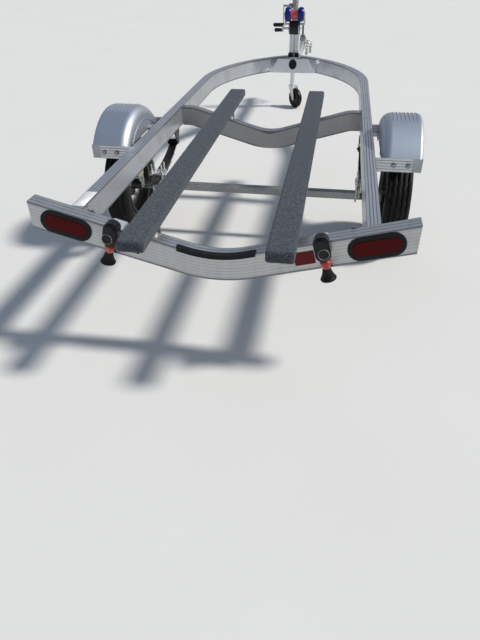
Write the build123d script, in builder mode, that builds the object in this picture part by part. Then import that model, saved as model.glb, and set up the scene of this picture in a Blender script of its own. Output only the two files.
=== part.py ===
from build123d import *
from math import acos, asin, cos, degrees, radians, sin, sqrt, tan
import os

# Single-axle bunk trailer for a small boat, in aluminium channel, parked on its jack.
# Millimetres. +Z up, +Y towards the coupler, +X to the trailer's right.
# The origin is on the ground, below the middle of the trailer's overall box.
# A station is a distance forward of the rear face of the rear crossmember.

# Overall lengths
bunk_overhang = 180.0
coupler_station = 4130.0
rear_y = (bunk_overhang - coupler_station) / 2

# Frame channel
channel_height = 101.6
channel_web = 4.8
channel_flange = 6.0
rail_flange_width = 50.8
cross_flange_width = 63.5

# Side rails: straight, then swept in to the tongue
rail_gap_half = 523.0
rail_top = 556.0
sweep_station = 2265.0
sweep_radius = 1000.0

# Rear crossmember: two arms that fall to a rounded middle
rear_cross_half = 693.0
rear_cross_end_top = 608.0
rear_cross_slope = 14.9
rear_cross_bend = 420.0

# Front crossmember: level ends, then the same kind of fall
front_cross_station = 1529.0
front_cross_top = 548.0
front_shoulder_reach = 68.0
front_cross_flat_half = rail_gap_half - front_shoulder_reach
front_cross_slope = 16.2
front_cross_bend = 300.0
front_shoulder_bend = 90.0

# Nose plate, where the swept rails have come this near to the middle
nose_gap_half = 203.0
nose_centre_reach = sweep_radius - rail_gap_half + nose_gap_half
nose_station = sweep_station + sqrt(sweep_radius**2 - nose_centre_reach**2)
nose_plate_thick = 4.8
nose_plate_top_half = 118.0
nose_plate_mid_half = 84.0
nose_plate_fold = 4.0

# Tongue tube
tongue_width = 50.8
tongue_height = 76.2
tongue_wall = 4.8
tongue_mid_z = rail_top - tongue_height / 2
tongue_rear_station = nose_station + nose_plate_thick
tongue_front_station = coupler_station - 130
cap_width = 62.0
cap_height = 76.0
cap_thick = 7.0
cap_depth = 25.0
cap_hole_width = 40.0
cap_hole_height = 62.0

# Coupler
coupler_length = 235.0
coupler_sheet = 4.0
ball_radius = 25.4
ball_clear = 0.8
socket_wall = 7.8
socket_skirt = 16.0

# Coupler latch, left lifted
latch_lift = 55.0
latch_length = 106.0
latch_width = 18.0
latch_rod = 5.0
latch_ear_gap = 5.0
latch_ear_thick = 6.0

# Safety chains
chain_y = rear_y + coupler_station - 155
chain_span = 130.0
chain_bolt_z = 534.0
chain_bolt_radius = 6.0
chain_loops = ((46.0, 428.0), (80.0, 446.0))
link_inner = 24.0
link_width = 22.0
link_wire = 6.5
link_bite = 0.5

# Wheels, hubs and axle
axle_station = 1050.0
track_half = 712.0
tyre_radius = 260.0
tyre_width = 124.0
rim_seat_radius = 152.4
rim_flange_radius = 165.0
rim_width = 102.0
rim_wall = 3.0
stud_circle_radius = 57.15
stud_count = 5
hand_hole_count = 5
hub_radius = 34.0
bearing_gap = 0.06
spindle_radius = 12.7
axle_tube = 38.1

# Springs
spring_x = 548.5
spring_width = 44.5
leaf_thick = 6.5
leaf_count = 4
leaf_shorter = 0.22
spring_seat = 18.0
spring_reach = 330.0
spring_eye_z = 394.0
eye_radius = 13.5
pin_radius = 7.0

# Fenders
fender_radius = 330.0
fender_centre_z = 340.0
fender_half_angle = 50.5
fender_inner_x = 602.0
fender_outer_x = 786.0
fender_sheet = 2.5
fender_shoulder = 44.0
fender_outer_round = 16.0
fender_wall_low = 537.0
fender_bead = 7.0
fender_bead_drop = 22.0
fender_rib_count = 7
fender_rib_width = 6.0
fender_rib_height = 3.0
fender_rib_angle = 34.0
fender_tab_lip = 14.0
fender_arm_thick = 5.0
fender_arm_height = 62.0
fender_arm_short = 44.0
fender_arm_foot = 40.0
fender_brace_ahead = 88.0
fender_brace_width = 52.0
fender_brace_drop = 25.0
fender_brace_thick = 4.0

# Bunks
bunk_x = 249.0
bunk_width = 98.0
bunk_thick = 44.0
bunk_rear_top = 571.0
bunk_front_top = 578.0
bunk_front_station = 1891.0
bunk_corner = 9.0
bunk_plate_thick = 5.0
bunk_plate_width = 62.0
bunk_foot_edge = 3.0
clamp_rod_radius = 5.0
clamp_rod_proud = 48.0
rod_sides = 8

# Tail lamps, reflector and edge trim
lamp_x = rear_cross_half - 134
lamp_length = 172.0
lamp_height = 64.0
lamp_lip = 12.0
lamp_lip_thick = 4.0
lamp_proud = 6.5
lamp_depth = 26.0
reflector_x = lamp_x - 240
reflector_width = 72.0
reflector_height = 48.0
trim_half = 145.0
trim_thick = 5.0
trim_width = 24.0

# Tie-downs on the rear crossmember
tie_down_x = lamp_x - 171
tie_body_width = 54.0
tie_body_depth = 44.0
tie_body_height = 92.0
tie_body_round = 24.0
tie_face_step = 7.0
tie_rise = 86.0
tie_knob_height = 36.0
tie_bell_height = 42.0

# Winch post, winch and bow roller
post_station = nose_station + 54
post_width = 76.2
post_top = 790.0
post_wall = 4.0
post_seam = 4.0
roller_z = 868.0
roller_setback = 62.0
roller_length = 140.0
roller_radius = 46.0
roller_waist = 30.0
roller_pin_end = 6.0
bracket_sheet = 5.0
winch_shaft_z = 772.0
winch_half = 42.0
winch_crank_length = 190.0
winch_arm_thick = 6.0
winch_grip_length = 88.0
winch_grip_radius = 14.0

# Jack
jack_x = -62.0
jack_station = coupler_station - 344
jack_tube_radius = 25.4
jack_leg_radius = 20.6
jack_tube_low = 336.0
jack_tube_top = 872.0
jack_leg_inside = 300.0
jack_wheel_radius = 85.0
jack_wheel_width = 44.0
jack_trail = 60.0
jack_caster_angle = 40.0
jack_shaft_z = 846.0
jack_gear_reach = 30.0
jack_gear_radius = 19.0
jack_shaft_reach = 80.0
jack_crank_length = 190.0
jack_grip_length = 72.0
jack_grip_bolt = 5.5

# Clearances
running_gap = 0.05
skin_gap = 0.3
work_gap = 6.0

os.makedirs("parts", exist_ok=True)


def finish(piece, name):
    """Label a finished piece and write it out."""
    piece.label = name
    export_step(piece, f"parts/{name}.step")


def facing_rear(y):
    """Plane across the trailer at y, with its own x to the right and y up."""
    return Plane(origin=(0, y, 0), x_dir=(1, 0, 0), z_dir=(0, -1, 0))


def facing_side(x):
    """Plane along the trailer at x, with its own x forward and y up."""
    return Plane(origin=(x, 0, 0), x_dir=(0, 1, 0), z_dir=(1, 0, 0))


def lowered(points, gap):
    """Corners of the line that runs the given gap below a bent line, with upright ends."""
    corners = []
    for index, (x, z) in enumerate(points):
        before = points[max(index - 1, 0)]
        after = points[min(index + 1, len(points) - 1)]
        slope_in = atan_slope(before, (x, z)) if index > 0 else None
        slope_out = atan_slope((x, z), after) if index < len(points) - 1 else None
        if slope_in is None or slope_out is None:
            slope = slope_out if slope_in is None else slope_in
            corners.append((x, z - gap / cos(slope)))
        else:
            mean = (slope_in + slope_out) / 2
            reach = gap / cos((slope_out - slope_in) / 2)
            corners.append((x + reach * sin(mean), z - reach * cos(mean)))
    return corners


def atan_slope(start, end):
    """Slope of the line between two points, in radians."""
    run = sqrt((end[0] - start[0]) ** 2 + (end[1] - start[1]) ** 2)
    return asin((end[1] - start[1]) / run)


def bent_radii(bends, gap):
    """Bend radii of a parallel line: a bend that opens upwards grows, the other shrinks."""
    return [radius + gap if radius > 0 else -radius - gap for radius in bends]


def draw_band(points, bends, upper, lower):
    """Closed outline between two lines that run parallel below a bent line."""
    high = lowered(points, upper)
    low = lowered(points, lower)
    FilletPolyline(*high, radius=bent_radii(bends, upper))
    FilletPolyline(*low, radius=bent_radii(bends, lower))
    Line(high[0], low[0])
    Line(high[-1], low[-1])


# Rear crossmember
rear_cross_vertex = rear_cross_end_top - rear_cross_half * tan(radians(rear_cross_slope))
rear_cross_line = [
    (-rear_cross_half, rear_cross_end_top),
    (0, rear_cross_vertex),
    (rear_cross_half, rear_cross_end_top),
]
rear_cross_bends = [rear_cross_bend]


def rear_cross_top(x):
    """Height of the rear crossmember's straight top line at x."""
    return rear_cross_vertex + abs(x) * tan(radians(rear_cross_slope))


def along_arm(x, drop, y):
    """Plane on the rear crossmember's arm with its centre at x, a square drop below the top line."""
    sign = 1 if x > 0 else -1
    tilt = radians(rear_cross_slope) * sign
    return Plane(
        origin=(x, y, rear_cross_top(x - drop * sin(tilt)) - drop * cos(tilt)),
        x_dir=(cos(tilt), 0, sin(tilt)),
        z_dir=(0, -1, 0),
    )


lamp_hole_length = lamp_length + 2 * skin_gap
lamp_hole_height = lamp_height + 2 * skin_gap
with BuildPart() as rear_crossmember:
    for upper, lower, depth in (
        (0, channel_height, channel_web),
        (0, channel_flange, cross_flange_width),
        (channel_height - channel_flange, channel_height, cross_flange_width),
    ):
        with BuildSketch(facing_rear(rear_y)):
            with BuildLine():
                draw_band(rear_cross_line, rear_cross_bends, upper, lower)
            make_face()
        extrude(amount=-depth)
    for x in (-lamp_x, lamp_x):
        with BuildSketch(along_arm(x, channel_height / 2, rear_y)):
            SlotOverall(lamp_hole_length, lamp_hole_height)
        extrude(amount=-channel_web, mode=Mode.SUBTRACT)
finish(rear_crossmember.part, "rear_crossmember")

# Front crossmember
front_cross_y = rear_y + front_cross_station
front_cross_fall = front_cross_flat_half * tan(radians(front_cross_slope))
front_cross_line = [
    (-rail_gap_half, front_cross_top),
    (-front_cross_flat_half, front_cross_top),
    (0, front_cross_top - front_cross_fall),
    (front_cross_flat_half, front_cross_top),
    (rail_gap_half, front_cross_top),
]
front_cross_bends = [
    -front_shoulder_bend - channel_height,
    front_cross_bend,
    -front_shoulder_bend - channel_height,
]
with BuildPart() as front_crossmember:
    for upper, lower, depth in (
        (0, channel_height, channel_web),
        (0, channel_flange, rail_flange_width),
        (channel_height - channel_flange, channel_height, rail_flange_width),
    ):
        with BuildSketch(facing_rear(front_cross_y)):
            with BuildLine():
                draw_band(front_cross_line, front_cross_bends, upper, lower)
            make_face()
        extrude(amount=-depth)
finish(front_crossmember.part, "front_crossmember")

# Side rails, swept in to the sides of the tongue
sweep_y = rear_y + sweep_station
rail_start_y = rear_y + cross_flange_width
sweep_centre_x = rail_gap_half - sweep_radius


def sweep_angle(radius, x):
    """Angle along the sweep at which a line of this radius reaches x."""
    return degrees(acos((x - sweep_centre_x) / radius))


def draw_rail(width):
    """Plan outline of a strip of the rail, as wide as given, from the web's inner face."""
    outer = sweep_radius + width
    Polyline(
        (rail_gap_half, sweep_y),
        (rail_gap_half, rail_start_y),
        (rail_gap_half + width, rail_start_y),
        (rail_gap_half + width, sweep_y),
    )
    centre = (sweep_centre_x, sweep_y)
    outside = CenterArc(centre, outer, 0, sweep_angle(outer, tongue_width / 2))
    inside = CenterArc(centre, sweep_radius, 0, sweep_angle(sweep_radius, tongue_width / 2))
    Line(outside @ 1, inside @ 1)


with BuildPart() as rail_right:
    for base, height, width in (
        (0, channel_height, channel_web),
        (0, channel_flange, rail_flange_width),
        (channel_height - channel_flange, channel_flange, rail_flange_width),
    ):
        with BuildSketch(Plane.XY.offset(rail_top - channel_height + base)):
            with BuildLine():
                draw_rail(width)
            make_face()
        extrude(amount=height)
finish(rail_right.part, "rail_right")
with BuildPart() as rail_left:
    mirror(rail_right.part, about=Plane.YZ)
finish(rail_left.part, "rail_left")

# Corner clips in the inner corners between the rails and both crossmembers
clip_thick = 6.0
clip_leg = 52.0
with BuildPart() as corner_clips:
    for corner_y, low, height in (
        (rail_start_y, rail_top - channel_height, channel_height),
        (front_cross_y + channel_web, front_cross_top - channel_height + 20, channel_height - 40),
    ):
        for sign in (-1, 1):
            with BuildSketch(Plane.XY.offset(low)):
                with Locations((sign * (rail_gap_half - clip_thick / 2), corner_y + clip_leg / 2)):
                    Rectangle(clip_thick, clip_leg)
                with Locations((sign * (rail_gap_half - clip_leg / 2), corner_y + clip_thick / 2)):
                    Rectangle(clip_leg, clip_thick)
            extrude(amount=height)
finish(corner_clips.part, "corner_clips")

# Nose plate, with an oval hole into the tongue
nose_y = rear_y + nose_station
tongue_top = tongue_mid_z + tongue_height / 2
nose_fold_rise = tan(radians(nose_plate_fold))
plate_bottom = rail_top - channel_height


def rail_inner_x(y):
    """Half the gap between the swept rails at y."""
    return sweep_centre_x + sqrt(sweep_radius**2 - (y - sweep_y) ** 2)


nose_plate_back = nose_plate_thick + (rail_inner_x(nose_y) - nose_plate_mid_half) * nose_fold_rise
nose_plate_low_half = rail_inner_x(nose_y + nose_plate_back) - skin_gap
with BuildPart() as nose_plate:
    with BuildSketch(Plane.XY.offset(plate_bottom)):
        with BuildLine():
            back = Polyline(
                (-nose_plate_low_half, nose_y + (nose_plate_low_half - nose_plate_mid_half) * nose_fold_rise),
                (-nose_plate_mid_half, nose_y),
                (nose_plate_mid_half, nose_y),
                (nose_plate_low_half, nose_y + (nose_plate_low_half - nose_plate_mid_half) * nose_fold_rise),
            )
            front = Polyline(
                *[(point.X, point.Y + nose_plate_thick) for point in back.vertices()]
            )
            Line(back @ 0, front @ 0)
            Line(back @ 1, front @ 1)
        make_face()
    extrude(amount=channel_height)
    with BuildSketch(facing_rear(nose_y - work_gap)):
        with BuildLine():
            Polyline(
                (-nose_plate_low_half, plate_bottom),
                (nose_plate_low_half, plate_bottom),
                (nose_plate_top_half, rail_top),
                (-nose_plate_top_half, rail_top),
                close=True,
            )
        make_face()
    extrude(amount=-sweep_radius, mode=Mode.INTERSECT)
    with BuildSketch(facing_rear(nose_y)):
        with Locations((0, tongue_mid_z)):
            SlotOverall(cap_hole_height, cap_hole_width, rotation=90)
    extrude(amount=-nose_plate_thick, mode=Mode.SUBTRACT)
finish(nose_plate.part, "nose_plate")

# Tongue tube, and the plug that closes the hole behind it
tongue_rear_y = rear_y + tongue_rear_station
tongue_length = tongue_front_station - tongue_rear_station
with BuildPart() as tongue:
    with BuildSketch(facing_rear(tongue_rear_y)):
        with Locations((0, tongue_mid_z)):
            RectangleRounded(tongue_width, tongue_height, tongue_wall)
            Rectangle(tongue_width - 2 * tongue_wall, tongue_height - 2 * tongue_wall, mode=Mode.SUBTRACT)
    extrude(amount=-tongue_length)
finish(tongue.part, "tongue")

with BuildPart() as tongue_cap:
    with BuildSketch(facing_rear(nose_y)):
        with Locations((0, tongue_mid_z)):
            Ellipse(cap_width / 2, cap_height / 2)
    extrude(amount=cap_thick)
    fillet(tongue_cap.faces().sort_by(Axis.Y)[0].edges(), cap_thick / 2)
    with BuildSketch(facing_rear(nose_y)):
        with Locations((0, tongue_mid_z)):
            SlotOverall(cap_hole_height - 2 * skin_gap, cap_hole_width - 2 * skin_gap, rotation=90)
    extrude(amount=-cap_depth)
finish(tongue_cap.part, "tongue_cap")

# Coupler: a pressed steel sleeve with a ball socket, and its latch
coupler_y = rear_y + coupler_station
coupler_half = tongue_width / 2 + coupler_sheet
coupler_rear_y = coupler_y - coupler_length
socket_radius = ball_radius + ball_clear
dome_radius = socket_radius + socket_wall
ball_y = coupler_y - dome_radius
ball_z = tongue_top + coupler_sheet + 2 - dome_radius
coupler_low = ball_z - socket_skirt
with BuildPart() as coupler:
    with BuildSketch(facing_rear(coupler_rear_y)):
        with BuildLine():
            Polyline(
                (-coupler_half, coupler_low),
                (-coupler_half, tongue_top + coupler_sheet),
                (coupler_half, tongue_top + coupler_sheet),
                (coupler_half, coupler_low),
                (coupler_half - coupler_sheet, coupler_low),
                (coupler_half - coupler_sheet, tongue_top),
                (-coupler_half + coupler_sheet, tongue_top),
                (-coupler_half + coupler_sheet, coupler_low),
                close=True,
            )
        make_face()
    extrude(amount=-(ball_y - dome_radius / 2 - coupler_rear_y))
    with BuildSketch(facing_side(0)):
        with BuildLine():
            Line((ball_y, ball_z + socket_radius), (ball_y, ball_z + dome_radius))
            CenterArc((ball_y, ball_z), dome_radius, 0, 90)
            Polyline(
                (ball_y + dome_radius, ball_z),
                (ball_y + dome_radius, coupler_low),
                (ball_y + socket_radius, coupler_low),
                (ball_y + socket_radius, ball_z),
            )
            CenterArc((ball_y, ball_z), socket_radius, 0, 90)
        make_face()
    revolve(axis=Axis((0, ball_y, 0), (0, 0, 1)))
finish(coupler.part, "coupler")

latch_y = ball_y - dome_radius - 36
latch_z = tongue_top + coupler_sheet + 16
latch_pin = Axis((0, latch_y, latch_z), (-1, 0, 0))
with BuildPart() as coupler_latch:
    with BuildSketch(facing_side(-latch_width / 2)):
        with BuildLine():
            Polyline(
                (latch_y - 4, latch_z - 8),
                (latch_y + 9, latch_z - 4),
                (latch_y + 9, latch_z + 6),
                (latch_y - 4, latch_z + 9),
                (latch_y - 54, latch_z + 22),
                (latch_y - latch_length, latch_z + 16),
                (latch_y - latch_length, latch_z + 10),
                (latch_y - 54, latch_z + 14),
                (latch_y - 14, latch_z - 5),
                close=True,
            )
        make_face()
    extrude(amount=latch_width)
    with Locations(Plane(origin=(0, latch_y, latch_z), z_dir=(1, 0, 0))):
        Cylinder(latch_rod, 2 * (latch_width / 2 + latch_ear_gap + latch_ear_thick) + 6)
finish(coupler_latch.part.rotate(latch_pin, latch_lift), "coupler_latch")

with BuildPart() as latch_ears:
    for sign in (-1, 1):
        ear_x = sign * (latch_width / 2 + latch_ear_gap + latch_ear_thick / 2)
        with BuildSketch(facing_side(ear_x - latch_ear_thick / 2)):
            with BuildLine():
                Polyline(
                    (latch_y - 18, tongue_top + coupler_sheet),
                    (latch_y + 18, tongue_top + coupler_sheet),
                    (latch_y + 10, latch_z + 10),
                    (latch_y - 10, latch_z + 10),
                    close=True,
                )
            make_face()
            with Locations((latch_y, latch_z)):
                Circle(latch_rod + running_gap, mode=Mode.SUBTRACT)
        extrude(amount=latch_ear_thick)
finish(latch_ears.part, "latch_ears")

# Safety chains: flat links in two loops beside the tongue, each from a bolt to a bolt
link_step = link_inner + link_bite
with BuildPart() as safety_chains:
    for chain_x, chain_low in chain_loops:
        for bolt_y in (chain_y - chain_span / 2, chain_y + chain_span / 2):
            with BuildSketch(facing_side(coupler_half)):
                with Locations((bolt_y, chain_bolt_z)):
                    Circle(chain_bolt_radius)
            extrude(amount=chain_x + link_wire - coupler_half)
        with BuildLine(facing_side(chain_x)):
            chain_path = ThreePointArc(
                (chain_y - chain_span / 2, chain_bolt_z),
                (chain_y, chain_low),
                (chain_y + chain_span / 2, chain_bolt_z),
            )
        link_count = 2 * round(chain_path.length / link_step / 2) + 1
        for link in range(link_count):
            place = (link + 0.5) / link_count
            along = chain_path % place
            across = Vector(1, 0, 0) if link % 2 == 0 else Vector(1, 0, 0).cross(along)
            link_plane = Plane(origin=chain_path @ place, x_dir=along, z_dir=across)
            with BuildSketch(link_plane.offset(-link_wire / 2)) as ring:
                Rectangle(link_inner + 2 * link_wire, link_width)
                chamfer(ring.vertices(), link_wire)
                Rectangle(link_inner, link_width - 2 * link_wire, mode=Mode.SUBTRACT)
            extrude(amount=link_wire)
finish(safety_chains.part, "safety_chains")

# Winch post: an extruded post on a foot astride the tongue
post_y = rear_y + post_station
post_centre_y = post_y + post_width / 2
foot_thick = 6.0
tube_width = (post_width - post_seam) / 2
with BuildPart() as winch_post:
    with BuildSketch(Plane.XY.offset(tongue_top + foot_thick)):
        for x in (-(post_width - tube_width) / 2, (post_width - tube_width) / 2):
            with Locations((x, post_centre_y)):
                RectangleRounded(tube_width, post_width, 5)
                Rectangle(tube_width - 2 * post_wall, post_width - 2 * post_wall, mode=Mode.SUBTRACT)
    extrude(amount=post_top - tongue_top - foot_thick)
finish(winch_post.part, "winch_post")

with BuildPart() as post_foot:
    with BuildSketch(Plane.XY.offset(tongue_top)):
        with Locations((0, post_centre_y)):
            Rectangle(post_width + 24, post_width + 30)
    extrude(amount=foot_thick)
finish(post_foot.part, "post_foot")

with BuildPart() as post_pads:
    for x, width in ((-24, 38), (24, 34)):
        with BuildSketch(Plane.XY.offset(tongue_top + foot_thick)):
            with Locations((x, post_y - 8)):
                RectangleRounded(width, 15, 4)
        extrude(amount=32)
finish(post_pads.part, "post_pads")

# Bow roller in its bracket
roller_y = post_y - roller_setback
roller_pin = 8.0
bracket_half = roller_length / 2 + skin_gap
with BuildPart() as bow_bracket:
    with BuildSketch(Plane.XY.offset(post_top)):
        with Locations((0, post_centre_y)):
            Rectangle(post_width, post_width)
    extrude(amount=bracket_sheet)
    for sign in (-1, 1):
        inner_x = sign * (bracket_half + bracket_sheet / 2) - bracket_sheet / 2
        with BuildSketch(facing_side(inner_x)):
            with BuildLine():
                Polyline(
                    (post_y, post_top),
                    (post_y + post_width, post_top),
                    (post_y + post_width, post_top + 24),
                    (roller_y + 20, roller_z + 20),
                    (roller_y - 20, roller_z + 20),
                    (roller_y - 20, roller_z - 20),
                    close=True,
                )
            make_face()
            with Locations((roller_y, roller_z)):
                Circle(roller_pin + running_gap, mode=Mode.SUBTRACT)
        extrude(amount=bracket_sheet)
    with BuildSketch(Plane.XY.offset(post_top)):
        with Locations((0, post_centre_y)):
            Rectangle(2 * bracket_half + 2 * bracket_sheet, post_width - 12)
    extrude(amount=bracket_sheet)
finish(bow_bracket.part, "bow_bracket")

core_half = roller_length / 2 - 44
with BuildPart() as bow_roller_core:
    with BuildSketch(facing_rear(roller_y)):
        with BuildLine():
            Polyline(
                (-core_half, roller_z),
                (-core_half, roller_z + roller_waist + 5),
            )
            ThreePointArc(
                (-core_half, roller_z + roller_waist + 5),
                (0, roller_z + roller_waist),
                (core_half, roller_z + roller_waist + 5),
            )
            Polyline(
                (core_half, roller_z + roller_waist + 5),
                (core_half, roller_z),
                (-core_half, roller_z),
            )
        make_face()
    revolve(axis=Axis((0, roller_y, roller_z), (1, 0, 0)))
    with Locations(Plane(origin=(0, roller_y, roller_z), z_dir=(1, 0, 0))):
        Cylinder(roller_pin, 2 * (bracket_half + bracket_sheet + roller_pin_end))
finish(bow_roller_core.part, "bow_roller_core")

with BuildPart() as bow_roller_bells:
    for sign in (-1, 1):
        end_x = sign * roller_length / 2
        near_x = sign * core_half
        with BuildSketch(facing_rear(roller_y)):
            with BuildLine():
                Polyline(
                    (near_x, roller_z + roller_pin),
                    (near_x, roller_z + roller_waist + 9),
                )
                ThreePointArc(
                    (near_x, roller_z + roller_waist + 9),
                    ((near_x + end_x) / 2, roller_z + roller_radius + 4),
                    (end_x, roller_z + roller_radius - 4),
                )
                Polyline(
                    (end_x, roller_z + roller_radius - 4),
                    (end_x, roller_z + roller_pin),
                    (near_x, roller_z + roller_pin),
                )
            make_face()
        revolve(axis=Axis((0, roller_y, roller_z), (1, 0, 0)))
finish(bow_roller_bells.part, "bow_roller_bells")

# Winch on the rear face of the post
winch_y = post_y - 52
winch_sheet = 3.2
drum_core = 14.0
strap_radius = 34.0
shaft_radius = 8.0
with BuildPart() as winch_frame:
    with BuildSketch(facing_rear(post_y)):
        with Locations((0, winch_shaft_z)):
            Rectangle(2 * winch_half, 96)
    extrude(amount=winch_sheet)
    for sign in (-1, 1):
        side_x = sign * (winch_half - winch_sheet / 2) - winch_sheet / 2
        with BuildSketch(facing_side(side_x)):
            with BuildLine():
                Polyline(
                    (post_y, winch_shaft_z - 48),
                    (post_y, winch_shaft_z + 48),
                    (winch_y - 14, winch_shaft_z + 20),
                    (winch_y - 14, winch_shaft_z - 20),
                    close=True,
                )
            make_face()
            with Locations((winch_y, winch_shaft_z)):
                Circle(shaft_radius + running_gap, mode=Mode.SUBTRACT)
        extrude(amount=winch_sheet)
finish(winch_frame.part, "winch_frame")

drum_half = winch_half - winch_sheet - 1.0
drum_rim = 3.0
arm_x = -(bracket_half + bracket_sheet + roller_pin_end + work_gap + winch_arm_thick)
crank_end_y = winch_y + winch_crank_length
grip_bolt = 6.0
grip_x = arm_x - skin_gap - winch_grip_length / 2
with BuildPart() as winch_drum:
    with Locations(Plane(origin=(0, winch_y, winch_shaft_z), z_dir=(1, 0, 0))):
        Cylinder(drum_core, 2 * drum_half)
        with Locations((0, 0, (arm_x + winch_half + 10) / 2)):
            Cylinder(shaft_radius, winch_half + 10 - arm_x)
        for sign in (-1, 1):
            with Locations((0, 0, sign * (drum_half - drum_rim / 2))):
                Cylinder(strap_radius + 5, drum_rim)
    with BuildSketch(facing_side(arm_x)):
        with Locations((winch_y + winch_crank_length / 2, winch_shaft_z)):
            SlotOverall(winch_crank_length + 30, 30)
    extrude(amount=winch_arm_thick)
    with BuildSketch(facing_side(arm_x)):
        with Locations((crank_end_y, winch_shaft_z)):
            Circle(grip_bolt)
    extrude(amount=-winch_grip_length - 6)
finish(winch_drum.part, "winch_crank_drum")

with BuildPart() as winch_strap:
    with Locations(Plane(origin=(0, winch_y, winch_shaft_z), z_dir=(1, 0, 0))):
        Cylinder(strap_radius, 2 * (drum_half - drum_rim - skin_gap))
        Cylinder(drum_core, 2 * drum_half, mode=Mode.SUBTRACT)
finish(winch_strap.part, "winch_strap")

with BuildPart() as winch_grip:
    with Locations(Plane(origin=(grip_x, crank_end_y, winch_shaft_z), z_dir=(1, 0, 0))):
        Cylinder(winch_grip_radius, winch_grip_length)
        Cylinder(grip_bolt, winch_grip_length + 10, mode=Mode.SUBTRACT)
finish(winch_grip.part, "winch_grip")

# Jack, bolted to the left side of the tongue
jack_y = rear_y + jack_station
jack_plate = 6.0
with BuildPart() as jack_tube:
    with BuildSketch(Plane.XY.offset(jack_tube_low)):
        with Locations((jack_x, jack_y)):
            Circle(jack_tube_radius)
            Circle(jack_leg_radius + running_gap, mode=Mode.SUBTRACT)
    extrude(amount=jack_tube_top - jack_tube_low)
    with BuildSketch(Plane.XY.offset(jack_tube_top)):
        with Locations((jack_x, jack_y)):
            Circle(jack_tube_radius + 2)
    extrude(amount=22)
    fillet(jack_tube.edges().sort_by(Axis.Z)[-1], 6)
finish(jack_tube.part, "jack_tube")

with BuildPart() as jack_bracket:
    plate_x = -tongue_width / 2 - jack_plate
    with BuildSketch(facing_side(plate_x)):
        with Locations((jack_y, tongue_mid_z)):
            Rectangle(120, 150)
    extrude(amount=jack_plate)
    for z in (tongue_mid_z - 52, tongue_mid_z + 52):
        with BuildSketch(Plane.XY.offset(z - 9)):
            with Locations(((jack_x + plate_x) / 2, jack_y)):
                Rectangle(plate_x - jack_x, 2 * jack_tube_radius)
            with Locations((jack_x, jack_y)):
                Circle(jack_tube_radius + 5)
                Circle(jack_tube_radius, mode=Mode.SUBTRACT)
        extrude(amount=18)
finish(jack_bracket.part, "jack_bracket")

fork_top = 2 * jack_wheel_radius + 20
jack_leg_top = jack_tube_low + jack_leg_inside
with BuildPart() as jack_leg:
    with BuildSketch(Plane.XY.offset(fork_top + skin_gap)):
        with Locations((jack_x, jack_y)):
            Circle(jack_leg_radius)
    extrude(amount=jack_leg_top - fork_top - skin_gap)
finish(jack_leg.part, "jack_leg")

caster = Plane(
    origin=(jack_x, jack_y, 0),
    x_dir=(sin(radians(jack_caster_angle)), -cos(radians(jack_caster_angle)), 0),
    z_dir=(0, 0, 1),
)
fork_half = jack_wheel_width / 2 + 6
fork_sheet = 4.0
with BuildPart() as jack_fork:
    with BuildSketch(caster.offset(fork_top - 6)):
        with Locations((jack_trail / 4, 0)):
            RectangleRounded(jack_trail + 24, 2 * fork_half + 2 * fork_sheet, 10)
    extrude(amount=6)
    for sign in (-1, 1):
        arm_plane = Plane(
            origin=caster.from_local_coords((0, sign * (fork_half + fork_sheet / 2) + fork_sheet / 2, 0)),
            x_dir=caster.x_dir,
            z_dir=-caster.y_dir,
        )
        with BuildSketch(arm_plane):
            with BuildLine():
                Polyline(
                    (-18, fork_top),
                    (jack_trail / 2 + 18, fork_top),
                    (jack_trail + 16, jack_wheel_radius),
                    (jack_trail + 12, jack_wheel_radius - 14),
                    (jack_trail - 12, jack_wheel_radius - 14),
                    close=True,
                )
            make_face()
        extrude(amount=fork_sheet)
    with Locations(
        Plane(
            origin=caster.from_local_coords((jack_trail, 0, jack_wheel_radius)),
            z_dir=caster.y_dir,
        )
    ):
        Cylinder(6, 2 * fork_half + 2 * fork_sheet + 10)
finish(jack_fork.part, "jack_fork")

jack_wheel_plane = Plane(
    origin=caster.from_local_coords((jack_trail, 0, jack_wheel_radius)),
    x_dir=caster.x_dir,
    z_dir=caster.y_dir,
)
with BuildPart() as jack_wheel:
    with Locations(jack_wheel_plane):
        Cylinder(jack_wheel_radius - 24, jack_wheel_width - 8)
        Cylinder(14, jack_wheel_width + 8)
        Cylinder(6 + running_gap, 2 * jack_wheel_width, mode=Mode.SUBTRACT)
finish(jack_wheel.part, "jack_wheel")

with BuildPart() as jack_tyre:
    with Locations(jack_wheel_plane):
        Cylinder(jack_wheel_radius, jack_wheel_width)
        Cylinder(jack_wheel_radius - 24, jack_wheel_width + 8, mode=Mode.SUBTRACT)
    chamfer(jack_tyre.edges().filter_by(GeomType.CIRCLE).group_by(SortBy.RADIUS)[-1], 9)
finish(jack_tyre.part, "jack_tyre")

jack_gear_x = jack_x - jack_tube_radius
with BuildPart() as jack_gearbox:
    with BuildSketch(facing_side(jack_gear_x - jack_gear_reach)):
        with Locations((jack_y, jack_shaft_z)):
            Circle(jack_gear_radius)
            Circle(shaft_radius + running_gap, mode=Mode.SUBTRACT)
    extrude(amount=jack_gear_reach - skin_gap)
finish(jack_gearbox.part, "jack_gearbox")

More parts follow.
